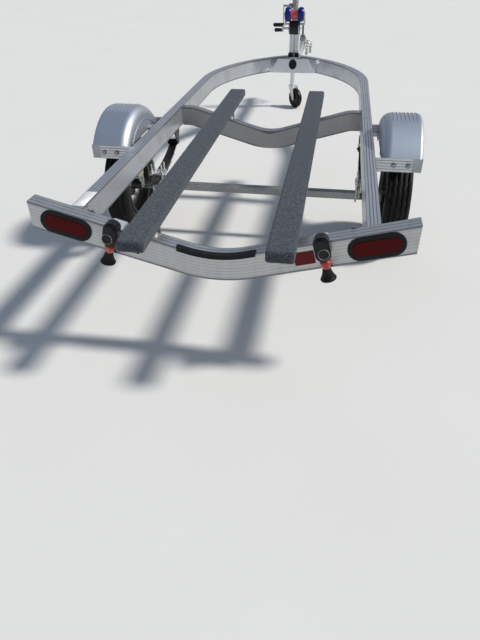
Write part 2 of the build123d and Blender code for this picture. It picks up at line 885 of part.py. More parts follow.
jack_arm_x = jack_gear_x - jack_shaft_reach
jack_arm_thick = 5.0
with BuildPart() as jack_crank:
    with BuildSketch(facing_side(jack_arm_x)):
        with Locations((jack_y, jack_shaft_z - jack_crank_length / 2)):
            SlotOverall(jack_crank_length + 26, 26, rotation=90)
    extrude(amount=jack_arm_thick)
    with BuildSketch(facing_side(jack_arm_x)):
        with Locations((jack_y, jack_shaft_z)):
            Circle(shaft_radius)
    extrude(amount=jack_shaft_reach - skin_gap)
    with BuildSketch(facing_side(jack_arm_x)):
        with Locations((jack_y, jack_shaft_z - jack_crank_length)):
            Circle(jack_grip_bolt)
    extrude(amount=-jack_grip_length - 8)
finish(jack_crank.part, "jack_crank")

with BuildPart() as jack_grip:
    with BuildSketch(facing_side(jack_arm_x - skin_gap)):
        with Locations((jack_y, jack_shaft_z - jack_crank_length)):
            Circle(13)
    extrude(amount=-jack_grip_length, taper=-3)
    with BuildSketch(facing_side(jack_arm_x)):
        with Locations((jack_y, jack_shaft_z - jack_crank_length)):
            Circle(jack_grip_bolt)
    extrude(amount=-jack_grip_length - 10, mode=Mode.SUBTRACT)
finish(jack_grip.part, "jack_grip")

# Axle: a square tube with a spindle at each end
axle_y = rear_y + axle_station
axle_z = tyre_radius
axle_half = track_half - 62
hub_inner_x = axle_half + 1
with BuildPart() as axle:
    with BuildSketch(facing_side(-axle_half)):
        with Locations((axle_y, axle_z)):
            RectangleRounded(axle_tube, axle_tube, 4)
    extrude(amount=2 * axle_half)
    with Locations(Plane(origin=(0, axle_y, axle_z), z_dir=(1, 0, 0))):
        Cylinder(spindle_radius, 2 * axle_half + 2 * 96)
finish(axle.part, "axle")

# Leaf springs, hangers, shackles and clamps
seat_z = axle_z + axle_tube / 2 + spring_seat
pack_thick = leaf_thick * leaf_count
main_low = seat_z + pack_thick - leaf_thick
spring_rise = spring_eye_z - eye_radius - main_low
spring_arc = (spring_reach**2 + spring_rise**2) / (2 * spring_rise)
with BuildPart() as leaf_springs:
    for sign in (-1, 1):
        side = facing_side(sign * spring_x - spring_width / 2)
        for leaf in range(leaf_count):
            low = main_low - leaf * leaf_thick
            reach = spring_reach * (1 - leaf_shorter * leaf)
            radius = spring_arc + leaf * leaf_thick
            fall = sqrt(radius**2 - reach**2)
            upper_fall = sqrt((radius - leaf_thick) ** 2 - reach**2)
            centre = low + radius
            with BuildSketch(side):
                with BuildLine():
                    ThreePointArc(
                        (axle_y - reach, centre - fall),
                        (axle_y, low),
                        (axle_y + reach, centre - fall),
                    )
                    Line((axle_y + reach, centre - fall), (axle_y + reach, centre - upper_fall))
                    ThreePointArc(
                        (axle_y + reach, centre - upper_fall),
                        (axle_y, low + leaf_thick),
                        (axle_y - reach, centre - upper_fall),
                    )
                    Line((axle_y - reach, centre - upper_fall), (axle_y - reach, centre - fall))
                make_face()
            extrude(amount=spring_width)
        for end in (-1, 1):
            with BuildSketch(side):
                with Locations((axle_y + end * spring_reach, spring_eye_z)):
                    Circle(eye_radius)
            extrude(amount=spring_width)
            with BuildSketch(side):
                with Locations((axle_y + end * spring_reach, spring_eye_z)):
                    Circle(pin_radius)
            extrude(amount=spring_width, mode=Mode.SUBTRACT)
finish(leaf_springs.part, "leaf_springs")

rail_low = rail_top - channel_height
hanger_sheet = 5.0
hanger_half = spring_width / 2 + 1.5
shackle_drop = 34.0
with BuildPart() as spring_hangers:
    for sign in (-1, 1):
        for end, pivot_z, foot in ((1, spring_eye_z, 44), (-1, spring_eye_z + shackle_drop, 34)):
            pivot_y = axle_y + end * spring_reach
            with BuildSketch(Plane.XY.offset(rail_low - hanger_sheet)):
                with Locations((sign * spring_x, pivot_y)):
                    Rectangle(2 * hanger_half + 2 * hanger_sheet, 2 * foot)
            extrude(amount=hanger_sheet)
            for cheek in (-1, 1):
                cheek_x = sign * spring_x + cheek * (hanger_half + hanger_sheet / 2) - hanger_sheet / 2
                with BuildSketch(facing_side(cheek_x)):
                    with BuildLine():
                        Polyline(
                            (pivot_y - foot, rail_low),
                            (pivot_y + foot, rail_low),
                            (pivot_y + 16, pivot_z - 14),
                            (pivot_y - 16, pivot_z - 14),
                            close=True,
                        )
                    make_face()
                    with Locations((pivot_y, pivot_z)):
                        Circle(pin_radius, mode=Mode.SUBTRACT)
                extrude(amount=hanger_sheet)
finish(spring_hangers.part, "spring_hangers")

pin_length = 2 * hanger_half + 2 * hanger_sheet + 14
with BuildPart() as spring_pins:
    for sign in (-1, 1):
        for end, pivot_z in ((1, spring_eye_z), (-1, spring_eye_z + shackle_drop), (-1, spring_eye_z)):
            with Locations(
                Plane(origin=(sign * spring_x, axle_y + end * spring_reach, pivot_z), z_dir=(1, 0, 0))
            ):
                Cylinder(pin_radius, pin_length)
        for cheek in (-1, 1):
            link_x = sign * spring_x + cheek * (hanger_half + hanger_sheet + 2.5) - 2.5
            with BuildSketch(facing_side(link_x)):
                with Locations((axle_y - spring_reach, spring_eye_z + shackle_drop / 2)):
                    SlotOverall(shackle_drop + 28, 28, rotation=90)
            extrude(amount=5)
finish(spring_pins.part, "spring_pins")

clamp_y = axle_tube / 2 + clamp_rod_radius + skin_gap
clamp_x = spring_width / 2 + clamp_rod_radius + skin_gap
clamp_edge = 10.0
clamp_half = clamp_y + clamp_rod_radius + clamp_edge
clamp_plate = 8.0
clamp_nut = 9.0
pack_top = seat_z + pack_thick
pack_radius = spring_arc - leaf_thick
pack_rise = pack_radius - sqrt(pack_radius**2 - clamp_half**2)
plate_top = pack_top + pack_rise + clamp_plate
with BuildPart() as spring_clamps:
    for sign in (-1, 1):
        with BuildSketch(facing_side(sign * spring_x - spring_width / 2)):
            with Locations((axle_y, seat_z - spring_seat / 2)):
                Rectangle(2 * clamp_y - 2 * clamp_rod_radius, spring_seat)
        extrude(amount=spring_width)
        with BuildSketch(facing_side(sign * spring_x - clamp_x - clamp_edge)):
            with BuildLine():
                ThreePointArc(
                    (axle_y - clamp_half, pack_top + pack_rise),
                    (axle_y, pack_top),
                    (axle_y + clamp_half, pack_top + pack_rise),
                )
                Polyline(
                    (axle_y + clamp_half, pack_top + pack_rise),
                    (axle_y + clamp_half, plate_top),
                    (axle_y - clamp_half, plate_top),
                    (axle_y - clamp_half, pack_top + pack_rise),
                )
            make_face()
        extrude(amount=2 * clamp_x + 2 * clamp_edge)
        for step in (-1, 1):
            rod_x = sign * spring_x + step * clamp_x
            low = axle_z - axle_tube / 2 - clamp_rod_radius
            high = plate_top + clamp_rod_proud
            with BuildLine(facing_side(rod_x)) as bar_path:
                Polyline(
                    (axle_y - clamp_y, high),
                    (axle_y - clamp_y, low),
                    (axle_y + clamp_y, low),
                    (axle_y + clamp_y, high),
                )
            with BuildSketch(Plane(origin=bar_path.line @ 0, z_dir=bar_path.line % 0)):
                RegularPolygon(clamp_rod_radius, rod_sides)
            sweep(path=bar_path.line, transition=Transition.RIGHT)
            with BuildSketch(Plane.XY.offset(plate_top)):
                with Locations((rod_x, axle_y - clamp_y), (rod_x, axle_y + clamp_y)):
                    RegularPolygon(2 * clamp_rod_radius, 6)
            extrude(amount=clamp_nut)
finish(spring_clamps.part, "spring_clamps")

# Road wheels, hubs and fenders on each side
fender_end = fender_radius * sin(radians(fender_half_angle))
fender_end_z = fender_centre_z + fender_radius * cos(radians(fender_half_angle))
sides = (("left", -1), ("right", 1))
tyre_half = tyre_width / 2
rim_half = rim_width / 2
for name, sign in sides:
    wheel_x = sign * track_half
    wheel_axis = Axis((wheel_x, axle_y, axle_z), (1, 0, 0))
    with BuildPart() as tyre:
        with BuildSketch(facing_rear(axle_y)):
            with BuildLine():
                ThreePointArc(
                    (wheel_x + rim_half - 5, axle_z + rim_flange_radius + 2),
                    (wheel_x + tyre_half, axle_z + tyre_radius - 48),
                    (wheel_x + tyre_half - 10, axle_z + tyre_radius - 14),
                )
                ThreePointArc(
                    (wheel_x + tyre_half - 10, axle_z + tyre_radius - 14),
                    (wheel_x, axle_z + tyre_radius),
                    (wheel_x - tyre_half + 10, axle_z + tyre_radius - 14),
                )
                ThreePointArc(
                    (wheel_x - tyre_half + 10, axle_z + tyre_radius - 14),
                    (wheel_x - tyre_half, axle_z + tyre_radius - 48),
                    (wheel_x - rim_half + 5, axle_z + rim_flange_radius + 2),
                )
                Polyline(
                    (wheel_x - rim_half + 5, axle_z + rim_flange_radius + 2),
                    (wheel_x - rim_half + 5, axle_z + rim_seat_radius + 1),
                    (wheel_x + rim_half - 5, axle_z + rim_seat_radius + 1),
                    (wheel_x + rim_half - 5, axle_z + rim_flange_radius + 2),
                )
            make_face()
        revolve(axis=wheel_axis)
    finish(tyre.part, f"tyre_{name}")

    disc_x = wheel_x + sign * 14
    with BuildPart() as wheel:
        with BuildSketch(facing_rear(axle_y)):
            with BuildLine():
                Polyline(
                    (wheel_x - rim_half, axle_z + rim_flange_radius),
                    (wheel_x - rim_half + 4, axle_z + rim_flange_radius),
                    (wheel_x - rim_half + 4, axle_z + rim_seat_radius),
                    (wheel_x - 22, axle_z + rim_seat_radius),
                    (wheel_x - 16, axle_z + rim_seat_radius - 16),
                    (wheel_x + 16, axle_z + rim_seat_radius - 16),
                    (wheel_x + 22, axle_z + rim_seat_radius),
                    (wheel_x + rim_half - 4, axle_z + rim_seat_radius),
                    (wheel_x + rim_half - 4, axle_z + rim_flange_radius),
                    (wheel_x + rim_half, axle_z + rim_flange_radius),
                    (wheel_x + rim_half, axle_z + rim_seat_radius - rim_wall),
                    (wheel_x + 24, axle_z + rim_seat_radius - rim_wall),
                    (wheel_x + 18, axle_z + rim_seat_radius - rim_wall - 16),
                    (wheel_x - 18, axle_z + rim_seat_radius - rim_wall - 16),
                    (wheel_x - 24, axle_z + rim_seat_radius - rim_wall),
                    (wheel_x - rim_half, axle_z + rim_seat_radius - rim_wall),
                    close=True,
                )
            make_face()
        revolve(axis=wheel_axis)
        with BuildSketch(facing_rear(axle_y)):
            with BuildLine():
                Polyline(
                    (disc_x, axle_z + hub_radius),
                    (disc_x, axle_z + 74),
                    (disc_x + sign * 18, axle_z + 98),
                    (disc_x - sign * 12, axle_z + rim_seat_radius - rim_wall - 14),
                    (disc_x - sign * 16, axle_z + rim_seat_radius - rim_wall - 18),
                    (disc_x + sign * 12, axle_z + 96),
                    (disc_x - sign * 4, axle_z + 76),
                    (disc_x - sign * 4, axle_z + hub_radius),
                    close=True,
                )
            make_face()
        revolve(axis=wheel_axis)
        hole_plane = Plane(origin=(wheel_x - 30, axle_y, axle_z), z_dir=(1, 0, 0))
        with BuildSketch(hole_plane):
            with PolarLocations(110, hand_hole_count):
                Circle(15)
        extrude(amount=90, mode=Mode.SUBTRACT)
    finish(wheel.part, f"wheel_{name}")

    with BuildPart() as hub:
        with BuildSketch(facing_rear(axle_y)):
            with BuildLine():
                inner_x = sign * hub_inner_x
                Polyline(
                    (inner_x, axle_z + spindle_radius + bearing_gap),
                    (inner_x, axle_z + 30),
                    (disc_x - sign * 16, axle_z + 30),
                    (disc_x - sign * 16, axle_z + 70),
                    (disc_x - sign * 4, axle_z + 70),
                    (disc_x - sign * 4, axle_z + hub_radius - 1),
                    (disc_x + sign * 22, axle_z + hub_radius - 1),
                    (disc_x + sign * 24, axle_z + 25),
                    (disc_x + sign * 46, axle_z + 22),
                    (disc_x + sign * 52, axle_z + 16),
                    (disc_x + sign * 52, axle_z),
                    (disc_x + sign * 49, axle_z),
                    (disc_x + sign * 49, axle_z + spindle_radius + bearing_gap),
                    close=True,
                )
            make_face()
        revolve(axis=wheel_axis)
        stud_plane = Plane(origin=(disc_x, axle_y, axle_z), z_dir=(sign, 0, 0))
        with BuildSketch(stud_plane):
            with PolarLocations(stud_circle_radius, stud_count):
                RegularPolygon(10, 6)
        extrude(amount=14)
    finish(hub.part, f"hub_{name}")

    # Fender: a shell with a round inner shoulder, ribs on its front and a panel at each end;
    # its walls end on a level edge
    fender_tilt = radians(fender_half_angle)
    fender_start = Plane(
        origin=(0, axle_y, fender_centre_z),
        x_dir=(1, 0, 0),
        z_dir=(0, -cos(fender_tilt), sin(fender_tilt)),
    )
    fender_axis = Axis((0, axle_y, fender_centre_z), (1, 0, 0))
    with BuildPart() as fender:
        for inset, mode in ((0, Mode.ADD), (fender_sheet, Mode.SUBTRACT)):
            near = sign * (fender_inner_x + inset)
            far = sign * (fender_outer_x - inset)
            top = fender_radius - inset
            low = fender_radius / 2 - inset
            inner_round = fender_shoulder - inset
            outer_round = fender_outer_round - inset
            with BuildSketch(fender_start):
                with BuildLine():
                    Polyline(
                        (far, top - outer_round),
                        (far, low),
                        (near, low),
                        (near, top - inner_round),
                    )
                    CenterArc(
                        (near + sign * inner_round, top - inner_round),
                        inner_round,
                        180 if sign > 0 else 0,
                        -90 * sign,
                    )
                    Line((near + sign * inner_round, top), (far - sign * outer_round, top))
                    CenterArc(
                        (far - sign * outer_round, top - outer_round),
                        outer_round,
                        90,
                        -90 * sign,
                    )
                make_face()
            revolve(axis=fender_axis, revolution_arc=2 * fender_half_angle, mode=mode)
        rib_step = (fender_outer_x - fender_inner_x - fender_shoulder - fender_outer_round) / fender_rib_count
        with BuildSketch(fender_start):
            for rib in range(fender_rib_count):
                rib_x = fender_inner_x + fender_shoulder + (rib + 0.5) * rib_step
                with Locations((sign * rib_x, fender_radius)):
                    Rectangle(fender_rib_width, 2 * fender_rib_height)
        revolve(axis=fender_axis, revolution_arc=fender_rib_angle)
        with BuildSketch(fender_start):
            with Locations((sign * fender_inner_x, fender_radius - fender_shoulder - fender_bead_drop)):
                Rectangle(fender_bead, fender_bead)
        revolve(axis=fender_axis, revolution_arc=2 * fender_half_angle)
        with BuildSketch(Plane.XY.offset(fender_wall_low)):
            with Locations((sign * (fender_inner_x + fender_outer_x) / 2, axle_y)):
                Rectangle(2 * fender_outer_x, 2 * fender_radius)
        extrude(amount=fender_radius, mode=Mode.INTERSECT)
        for end in (-1, 1):
            panel_y = axle_y + end * fender_end
            panel_z = fender_end_z - fender_arm_height / 2
            with BuildSketch(facing_rear(panel_y)):
                with Locations((sign * (fender_inner_x + fender_outer_x) / 2, panel_z)):
                    Rectangle(fender_outer_x - fender_inner_x, fender_arm_height)
            extrude(amount=end * fender_sheet)
            with BuildSketch(facing_side(sign * (fender_outer_x - fender_sheet))):
                with Locations((panel_y - end * fender_tab_lip / 2, panel_z)):
                    Rectangle(fender_tab_lip, fender_arm_height)
            extrude(amount=sign * fender_sheet)
    finish(fender.part, f"fender_{name}")

# Fender arms: a plate ahead of each tyre and one behind, with a foot on the rail,
# and a small brace between them, under the rail's top flange
arm_in = rail_gap_half + channel_web
arm_out = fender_outer_x - fender_arm_short
brace_top = rail_top - channel_flange
with BuildPart() as fender_arms:
    for sign in (-1, 1):
        for end in (-1, 1):
            arm_y = axle_y + end * (fender_end + fender_arm_thick / 2)
            with BuildSketch(Plane.XY.offset(fender_end_z - fender_arm_height)):
                with Locations((sign * (arm_in + arm_out) / 2, arm_y)):
                    Rectangle(arm_out - arm_in, fender_arm_thick)
                with Locations((sign * (arm_in + fender_arm_thick / 2), arm_y + end * fender_arm_foot / 2)):
                    Rectangle(fender_arm_thick, fender_arm_foot)
            extrude(amount=fender_arm_height)
        with BuildSketch(facing_rear(axle_y + fender_brace_ahead - fender_brace_width / 2)):
            with BuildLine():
                Polyline(
                    (sign * arm_in, brace_top),
                    (sign * fender_inner_x, brace_top),
                    (sign * fender_inner_x, brace_top - fender_brace_drop),
                    (sign * (fender_inner_x - fender_brace_thick), brace_top - fender_brace_drop),
                    (sign * (fender_inner_x - fender_brace_thick), brace_top - fender_brace_thick),
                    (sign * arm_in, brace_top - fender_brace_thick),
                    close=True,
                )
            make_face()
        extrude(amount=-fender_brace_width)
finish(fender_arms.part, "fender_arms")

# Bunks: carpeted timbers that rise slightly towards the front
bunk_length = bunk_overhang + bunk_front_station
bunk_start_y = rear_y - bunk_overhang
bunk_rise = bunk_front_top - bunk_rear_top
for name, sign in sides:
    with BuildPart() as bunk:
        with BuildSketch(facing_rear(bunk_start_y)):
            with Locations((sign * bunk_x, bunk_rear_top - bunk_thick / 2)):
                RectangleRounded(bunk_width, bunk_thick, bunk_corner)
        extrude(amount=bunk_length, dir=(0, bunk_length, bunk_rise))
    finish(bunk.part, f"bunk_{name}")


def bunk_low(y):
    """Height of the bunks' underside at y."""
    return bunk_rear_top - bunk_thick + bunk_rise * (y - bunk_start_y) / bunk_length


# Bunk brackets: a sloping foot bolted on each crossmember's top flange, and a level head
front_slope_tan = tan(radians(front_cross_slope))
with BuildPart() as bunk_brackets:
    for sign in (-1, 1):
        for member_y, member_flange, member_top, slope in (
            (rear_y, cross_flange_width, rear_cross_top(bunk_x), rear_cross_slope),
            (
                front_cross_y,
                rail_flange_width,
                front_cross_top - (front_cross_flat_half - bunk_x) * front_slope_tan,
                front_cross_slope,
            ),
        ):
            head_top = bunk_low(member_y) - skin_gap
            head_low = head_top - bunk_plate_thick
            tilt = tan(radians(slope))
            near_x = sign * (bunk_x - bunk_plate_width / 2)
            far_x = sign * (bunk_x + bunk_plate_width / 2)
            near_top = member_top - tilt * bunk_plate_width / 2
            far_top = member_top + tilt * bunk_plate_width / 2
            foot_y = member_y + bunk_foot_edge
            foot_depth = member_flange - 2 * bunk_foot_edge
            with BuildSketch(facing_rear(foot_y)):
                with BuildLine():
                    Polyline(
                        (near_x, near_top),
                        (far_x, far_top),
                        (far_x, far_top + bunk_plate_thick),
                        (near_x, near_top + bunk_plate_thick),
                        close=True,
                    )
                make_face()
            extrude(amount=-foot_depth)
            web_y = foot_y + foot_depth - bunk_plate_thick
            with BuildSketch(facing_rear(web_y)):
                with BuildLine():
                    Polyline(
                        (near_x, near_top),
                        (far_x, far_top),
                        (far_x, head_top),
                        (near_x, head_top),
                        close=True,
                    )
                make_face()
            extrude(amount=-bunk_plate_thick)
            with BuildSketch(facing_rear(foot_y)):
                with Locations((sign * bunk_x, (head_low + head_top) / 2)):
                    Rectangle(bunk_plate_width, bunk_plate_thick)
            extrude(amount=-foot_depth)
finish(bunk_brackets.part, "bunk_brackets")

# Oval tail lamps: a rubber grommet and a lens on each arm
with BuildPart() as lamp_grommets:
    for x in (-lamp_x, lamp_x):
        mount = along_arm(x, channel_height / 2, rear_y)
        with BuildSketch(mount):
            SlotOverall(lamp_length + 2 * lamp_lip, lamp_height + 2 * lamp_lip)
        extrude(amount=lamp_lip_thick)
        with BuildSketch(mount):
            SlotOverall(lamp_length, lamp_height)
        extrude(amount=-lamp_depth)
        with BuildSketch(mount.offset(lamp_lip_thick)):
            SlotOverall(lamp_length - 8, lamp_height - 8)
        extrude(amount=-lamp_depth, mode=Mode.SUBTRACT)
finish(lamp_grommets.part, "lamp_grommets")

with BuildPart() as lamp_lenses:
    for x in (-lamp_x, lamp_x):
        mount = along_arm(x, channel_height / 2, rear_y)
        with BuildSketch(mount.offset(lamp_proud)):
            SlotOverall(lamp_length - 8, lamp_height - 8)
        extrude(amount=-lamp_proud - 16)
    chamfer(lamp_lenses.faces().group_by(Axis.Y)[0].edges(), 2)
finish(lamp_lenses.part, "lamp_lenses")

with BuildPart() as reflectors:
    for x in (-reflector_x, reflector_x):
        with BuildSketch(along_arm(x, channel_height / 2, rear_y)):
            RectangleRounded(reflector_width, reflector_height, 3)
        extrude(amount=4)
finish(reflectors.part, "reflectors")

# Rubber trim on the rounded middle of the rear crossmember
with BuildPart() as edge_trim:
    with BuildSketch(facing_rear(rear_y - trim_thick)):
        with BuildLine():
            draw_band(rear_cross_line, rear_cross_bends, -trim_thick, 0)
        make_face()
    extrude(amount=-trim_width)
    with BuildSketch(facing_rear(rear_y - trim_thick)):
        with BuildLine():
            draw_band(rear_cross_line, rear_cross_bends, 0, 2.5 * trim_thick)
        make_face()
    extrude(amount=-trim_thick)
    with BuildSketch(Plane.XY.offset(rear_cross_vertex - channel_height)):
        with Locations((0, rear_y)):
            Rectangle(2 * trim_half, 4 * trim_width)
    extrude(amount=2 * channel_height, mode=Mode.INTERSECT)
finish(edge_trim.part, "edge_trim")

# Tie-downs: a housing, a knob and a rubber bell, square to each arm
tie_low = tie_rise - tie_body_height
bell_top = tie_low - tie_knob_height
with BuildPart() as tie_housings:
    for x in (-tie_down_x, tie_down_x):
        mount = along_arm(x, channel_height / 2, rear_y)
        with BuildSketch(mount):
            with Locations((0, tie_rise - tie_body_height / 2)):
                RectangleRounded(tie_body_width, tie_body_height, tie_body_round)
        extrude(amount=tie_body_depth - tie_face_step)
        with BuildSketch(mount.offset(tie_body_depth - tie_face_step)):
            with Locations((0, tie_rise - tie_body_height / 2)):
                RectangleRounded(
                    tie_body_width - tie_face_step,
                    tie_body_height - tie_face_step,
                    tie_body_round - tie_face_step / 2,
                )
        extrude(amount=tie_face_step)
        with BuildSketch(mount.offset(tie_body_depth)):
            with Locations((0, tie_rise - tie_body_round)):
                Circle(tie_body_round - tie_face_step)
        extrude(amount=5)
finish(tie_housings.part, "tie_down_housings")

with BuildPart() as tie_knobs:
    for x in (-tie_down_x, tie_down_x):
        mount = along_arm(x, channel_height / 2, rear_y)
        with BuildSketch(mount.offset(tie_body_depth / 2)):
            with BuildLine():
                Polyline(
                    (0, tie_low),
                    (13, tie_low),
                    (18, tie_low - 8),
                    (18, tie_low - 20),
                    (12, bell_top),
                    (0, bell_top),
                    close=True,
                )
            make_face()
        centre = mount.from_local_coords((0, 0, tie_body_depth / 2))
        revolve(axis=Axis(centre, mount.y_dir))
finish(tie_knobs.part, "tie_down_knobs")

with BuildPart() as tie_bells:
    for x in (-tie_down_x, tie_down_x):
        mount = along_arm(x, channel_height / 2, rear_y)
        with BuildSketch(mount.offset(tie_body_depth / 2)):
            with BuildLine():
                Line((0, bell_top), (15, bell_top))
                ThreePointArc((15, bell_top), (20, bell_top - 20), (29, bell_top - tie_bell_height + 4))
                Polyline(
                    (29, bell_top - tie_bell_height + 4),
                    (28, bell_top - tie_bell_height),
                    (0, bell_top - tie_bell_height),
                    (0, bell_top),
                )
            make_face()
        centre = mount.from_local_coords((0, 0, tie_body_depth / 2))
        revolve(axis=Axis(centre, mount.y_dir))
finish(tie_bells.part, "tie_down_bells")
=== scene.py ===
# %% [markdown]
# # A bunk trailer for a small boat
# The real object is a light single-axle trailer in fluted aluminium channel, parked on its
# jack. Its frame, wheels, springs and hinges come as fixed CAD solids, so this lesson adds
# what a drawing office leaves out: mill finish, zinc, carpet, tread, bolts and small wire.
# Everything is in metres, with +Z up, +Y towards the coupler and +X to the trailer's right.

# %% Load the fixed frame
import math

import bmesh
import bpy
from mathutils import Matrix, Vector, noise


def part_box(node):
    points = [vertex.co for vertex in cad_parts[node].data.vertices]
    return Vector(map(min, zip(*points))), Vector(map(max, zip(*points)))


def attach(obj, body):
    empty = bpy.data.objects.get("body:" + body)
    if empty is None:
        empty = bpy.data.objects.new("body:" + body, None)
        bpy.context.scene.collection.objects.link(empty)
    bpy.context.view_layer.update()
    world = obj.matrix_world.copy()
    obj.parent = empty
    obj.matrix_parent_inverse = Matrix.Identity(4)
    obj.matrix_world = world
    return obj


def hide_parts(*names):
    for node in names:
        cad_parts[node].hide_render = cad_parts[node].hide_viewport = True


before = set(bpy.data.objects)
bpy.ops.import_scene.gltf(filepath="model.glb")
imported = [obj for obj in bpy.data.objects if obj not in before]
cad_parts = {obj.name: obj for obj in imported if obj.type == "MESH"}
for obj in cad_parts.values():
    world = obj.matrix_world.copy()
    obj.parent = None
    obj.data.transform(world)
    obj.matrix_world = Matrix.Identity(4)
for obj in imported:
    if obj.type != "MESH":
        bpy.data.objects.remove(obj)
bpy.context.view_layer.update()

# %% [markdown]
# ## Places that come from the frame
# A piece that sits on a CAD node should ask that node where it is, because a copied number
# goes stale when the drawing changes. A few driving sizes that no box can tell, such as the
# radius of the swept rails, are written once here and everything else follows from them.

# %% Driving sizes
rail_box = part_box("rail_right")
cross_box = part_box("rear_crossmember")
front_cross_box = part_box("front_crossmember")
channel_height = 0.1016
channel_flange = 0.006
flute_pitch = 0.0127
rail_top = rail_box[1][2]
rail_inner = 0.523
rear_y = cross_box[0][1]
front_cross_y = front_cross_box[0][1]
sweep_radius = 1.0
sweep_y = rear_y + 2.265
sweep_centre_x = rail_inner - sweep_radius
cross_half = cross_box[1][0]
cross_slope = math.radians(14.9)
cross_bend = 0.420
cross_end_top = 0.608
cross_vertex = cross_end_top - cross_half * math.tan(cross_slope)
front_cross_top = front_cross_box[1][2]
front_cross_flat = 0.455
front_cross_slope = math.radians(16.2)
sides = (("left", -1), ("right", 1))


def middle_of(node):
    """The middle of a node's box."""
    return [(low + high) / 2 for low, high in zip(*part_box(node))]


axle_y = middle_of("axle")[1]
print("rail top", round(rail_top, 4), "rear face", round(rear_y, 4))

# %% [markdown]
# ## Shader maths as plain expressions
# A material graph can be wired by hand, but long sums of Math nodes are hard to read. One
# small class wraps a socket, so that Python's own signs add the nodes: `1 - mask` makes a
# Subtract node. A second class holds the material and makes every other node by one method.

# %% A socket that understands arithmetic
def math_node(operation, swapped=False):
    """The method behind one of Python's signs, which adds a Math node."""
    def apply(self, *others):
        values = (*others, self) if swapped else (self, *others)
        return self.finish.math(operation, *values)
    return apply


class Tone:
    """A number, colour or vector that varies over a surface."""

    def __init__(self, finish, socket):
        self.finish = finish
        self.socket = socket

    __add__ = __radd__ = math_node("ADD")
    __mul__ = __rmul__ = math_node("MULTIPLY")
    __sub__ = math_node("SUBTRACT")
    __rsub__ = math_node("SUBTRACT", swapped=True)
    __truediv__ = math_node("DIVIDE")
    __pow__ = math_node("POWER")
    __gt__ = math_node("GREATER_THAN")
    __lt__ = math_node("LESS_THAN")
    __abs__ = math_node("ABSOLUTE")


# %% A finish, which holds one material
class Finish:
    """One material: its Principled shader, and the nodes that feed it."""

    def __init__(self, name, **constants):
        self.material = bpy.data.materials.new(name)
        self.material.use_nodes = True
        self.tree = self.material.node_tree
        self.tree.nodes.clear()
        self.shader = self.tree.nodes.new("ShaderNodeBsdfPrincipled")
        output = self.tree.nodes.new("ShaderNodeOutputMaterial")
        self.tree.links.new(self.shader.outputs["BSDF"], output.inputs["Surface"])
        for socket_name, value in constants.items():
            self.put(socket_name.replace("_", " "), value)
        self.place = self.node("ShaderNodeTexCoord", output="Object")
        self.x, self.y, self.z = [
            self.node("ShaderNodeSeparateXYZ", {}, [self.place], output=axis) for axis in "XYZ"
        ]

    def node(self, kind, settings=None, inputs=None, output=0):
        made = self.tree.nodes.new(kind)
        for key, value in (settings or {}).items():
            setattr(made, key, value)
        pairs = inputs.items() if isinstance(inputs, dict) else enumerate(inputs or [])
        for key, value in pairs:
            self.feed(made.inputs[key], value)
        return Tone(self, made.outputs[output])

    def math(self, operation, *values):
        return self.node("ShaderNodeMath", {"operation": operation}, list(values))

    def feed(self, socket, value):
        if isinstance(value, Tone):
            self.tree.links.new(value.socket, socket)
        else:
            socket.default_value = value

    def put(self, socket_name, value):
        self.feed(self.shader.inputs[socket_name], value)

    def vector(self, x, y, z):
        return self.node("ShaderNodeCombineXYZ", {}, [x, y, z])

    def noise(self, scale, detail=2.0, place=None):
        inputs = {"Vector": place or self.place, "Scale": scale, "Detail": detail}
        return self.node("ShaderNodeTexNoise", {}, inputs)

    def cells(self, scale, output="Color", place=None):
        inputs = {"Vector": place or self.place, "Scale": scale}
        cell = self.node("ShaderNodeTexVoronoi", {}, inputs, output=output)
        return self.node("ShaderNodeSeparateColor", {}, [cell]) if output == "Color" else cell

    def axle_distance(self, centre_y, centre_z):
        """How far a point is from a line across the trailer."""
        return ((self.y - centre_y) ** 2.0 + (self.z - centre_z) ** 2.0) ** 0.5

    def ease(self, value, low, high):
        """0 below low, 1 above high, smooth between."""
        settings = {"interpolation_type": "SMOOTHSTEP"}
        return self.node("ShaderNodeMapRange", settings, [value, low, high, 0.0, 1.0])

    def mix(self, amount, first, second):
        """A colour between two colours."""
        inputs = {0: amount, 6: solid(first), 7: solid(second)}
        return self.node("ShaderNodeMix", {"data_type": "RGBA"}, inputs, output=2)

    def choose(self, switch, yes, no):
        """yes where switch is 1, no where it is 0."""
        return switch * yes + (1 - switch) * no

    def surface(self, colour, roughness, height, distance, strength):
        """Feeds what nearly every coat varies, the last three for its bump."""
        inputs = {"Strength": strength, "Distance": distance, "Height": height}
        self.put("Base Color", colour)
        self.put("Roughness", roughness)
        self.put("Normal", self.node("ShaderNodeBump", {}, inputs))
        print("coat", self.material.name)
        return self.material


def solid(colour):
    """A colour with its alpha, or a socket left as it is."""
    return colour if isinstance(colour, Tone) else (*colour, 1.0)


# %% [markdown]
# ## Fluted mill aluminium
# The frame is extruded channel with shallow grooves along its web and flanges, each darkened
# in colour along its line as painted shade. Each channel gets one number for how far down its
# web a point is and one for how far across its flange, and a line is drawn every half inch of
# that. The rails have the grooves cut in their mesh, the crossmembers keep their CAD solid and
# get them by bump.

# %% Finish of a fluted channel
flange_zone = 1.2 * channel_flange
web_groove_share = 0.10
flange_groove_half = 0.0022


def groove_mask(finish, across, half_width, pitch=flute_pitch):
    """1 on each groove line, 0 between; half_width is a share of the pitch."""
    phase = finish.math("FRACT", across / pitch)
    nearest = finish.math("MINIMUM", phase, 1 - phase)
    return 1 - finish.ease(nearest, half_width * 0.5, half_width * 1.2)


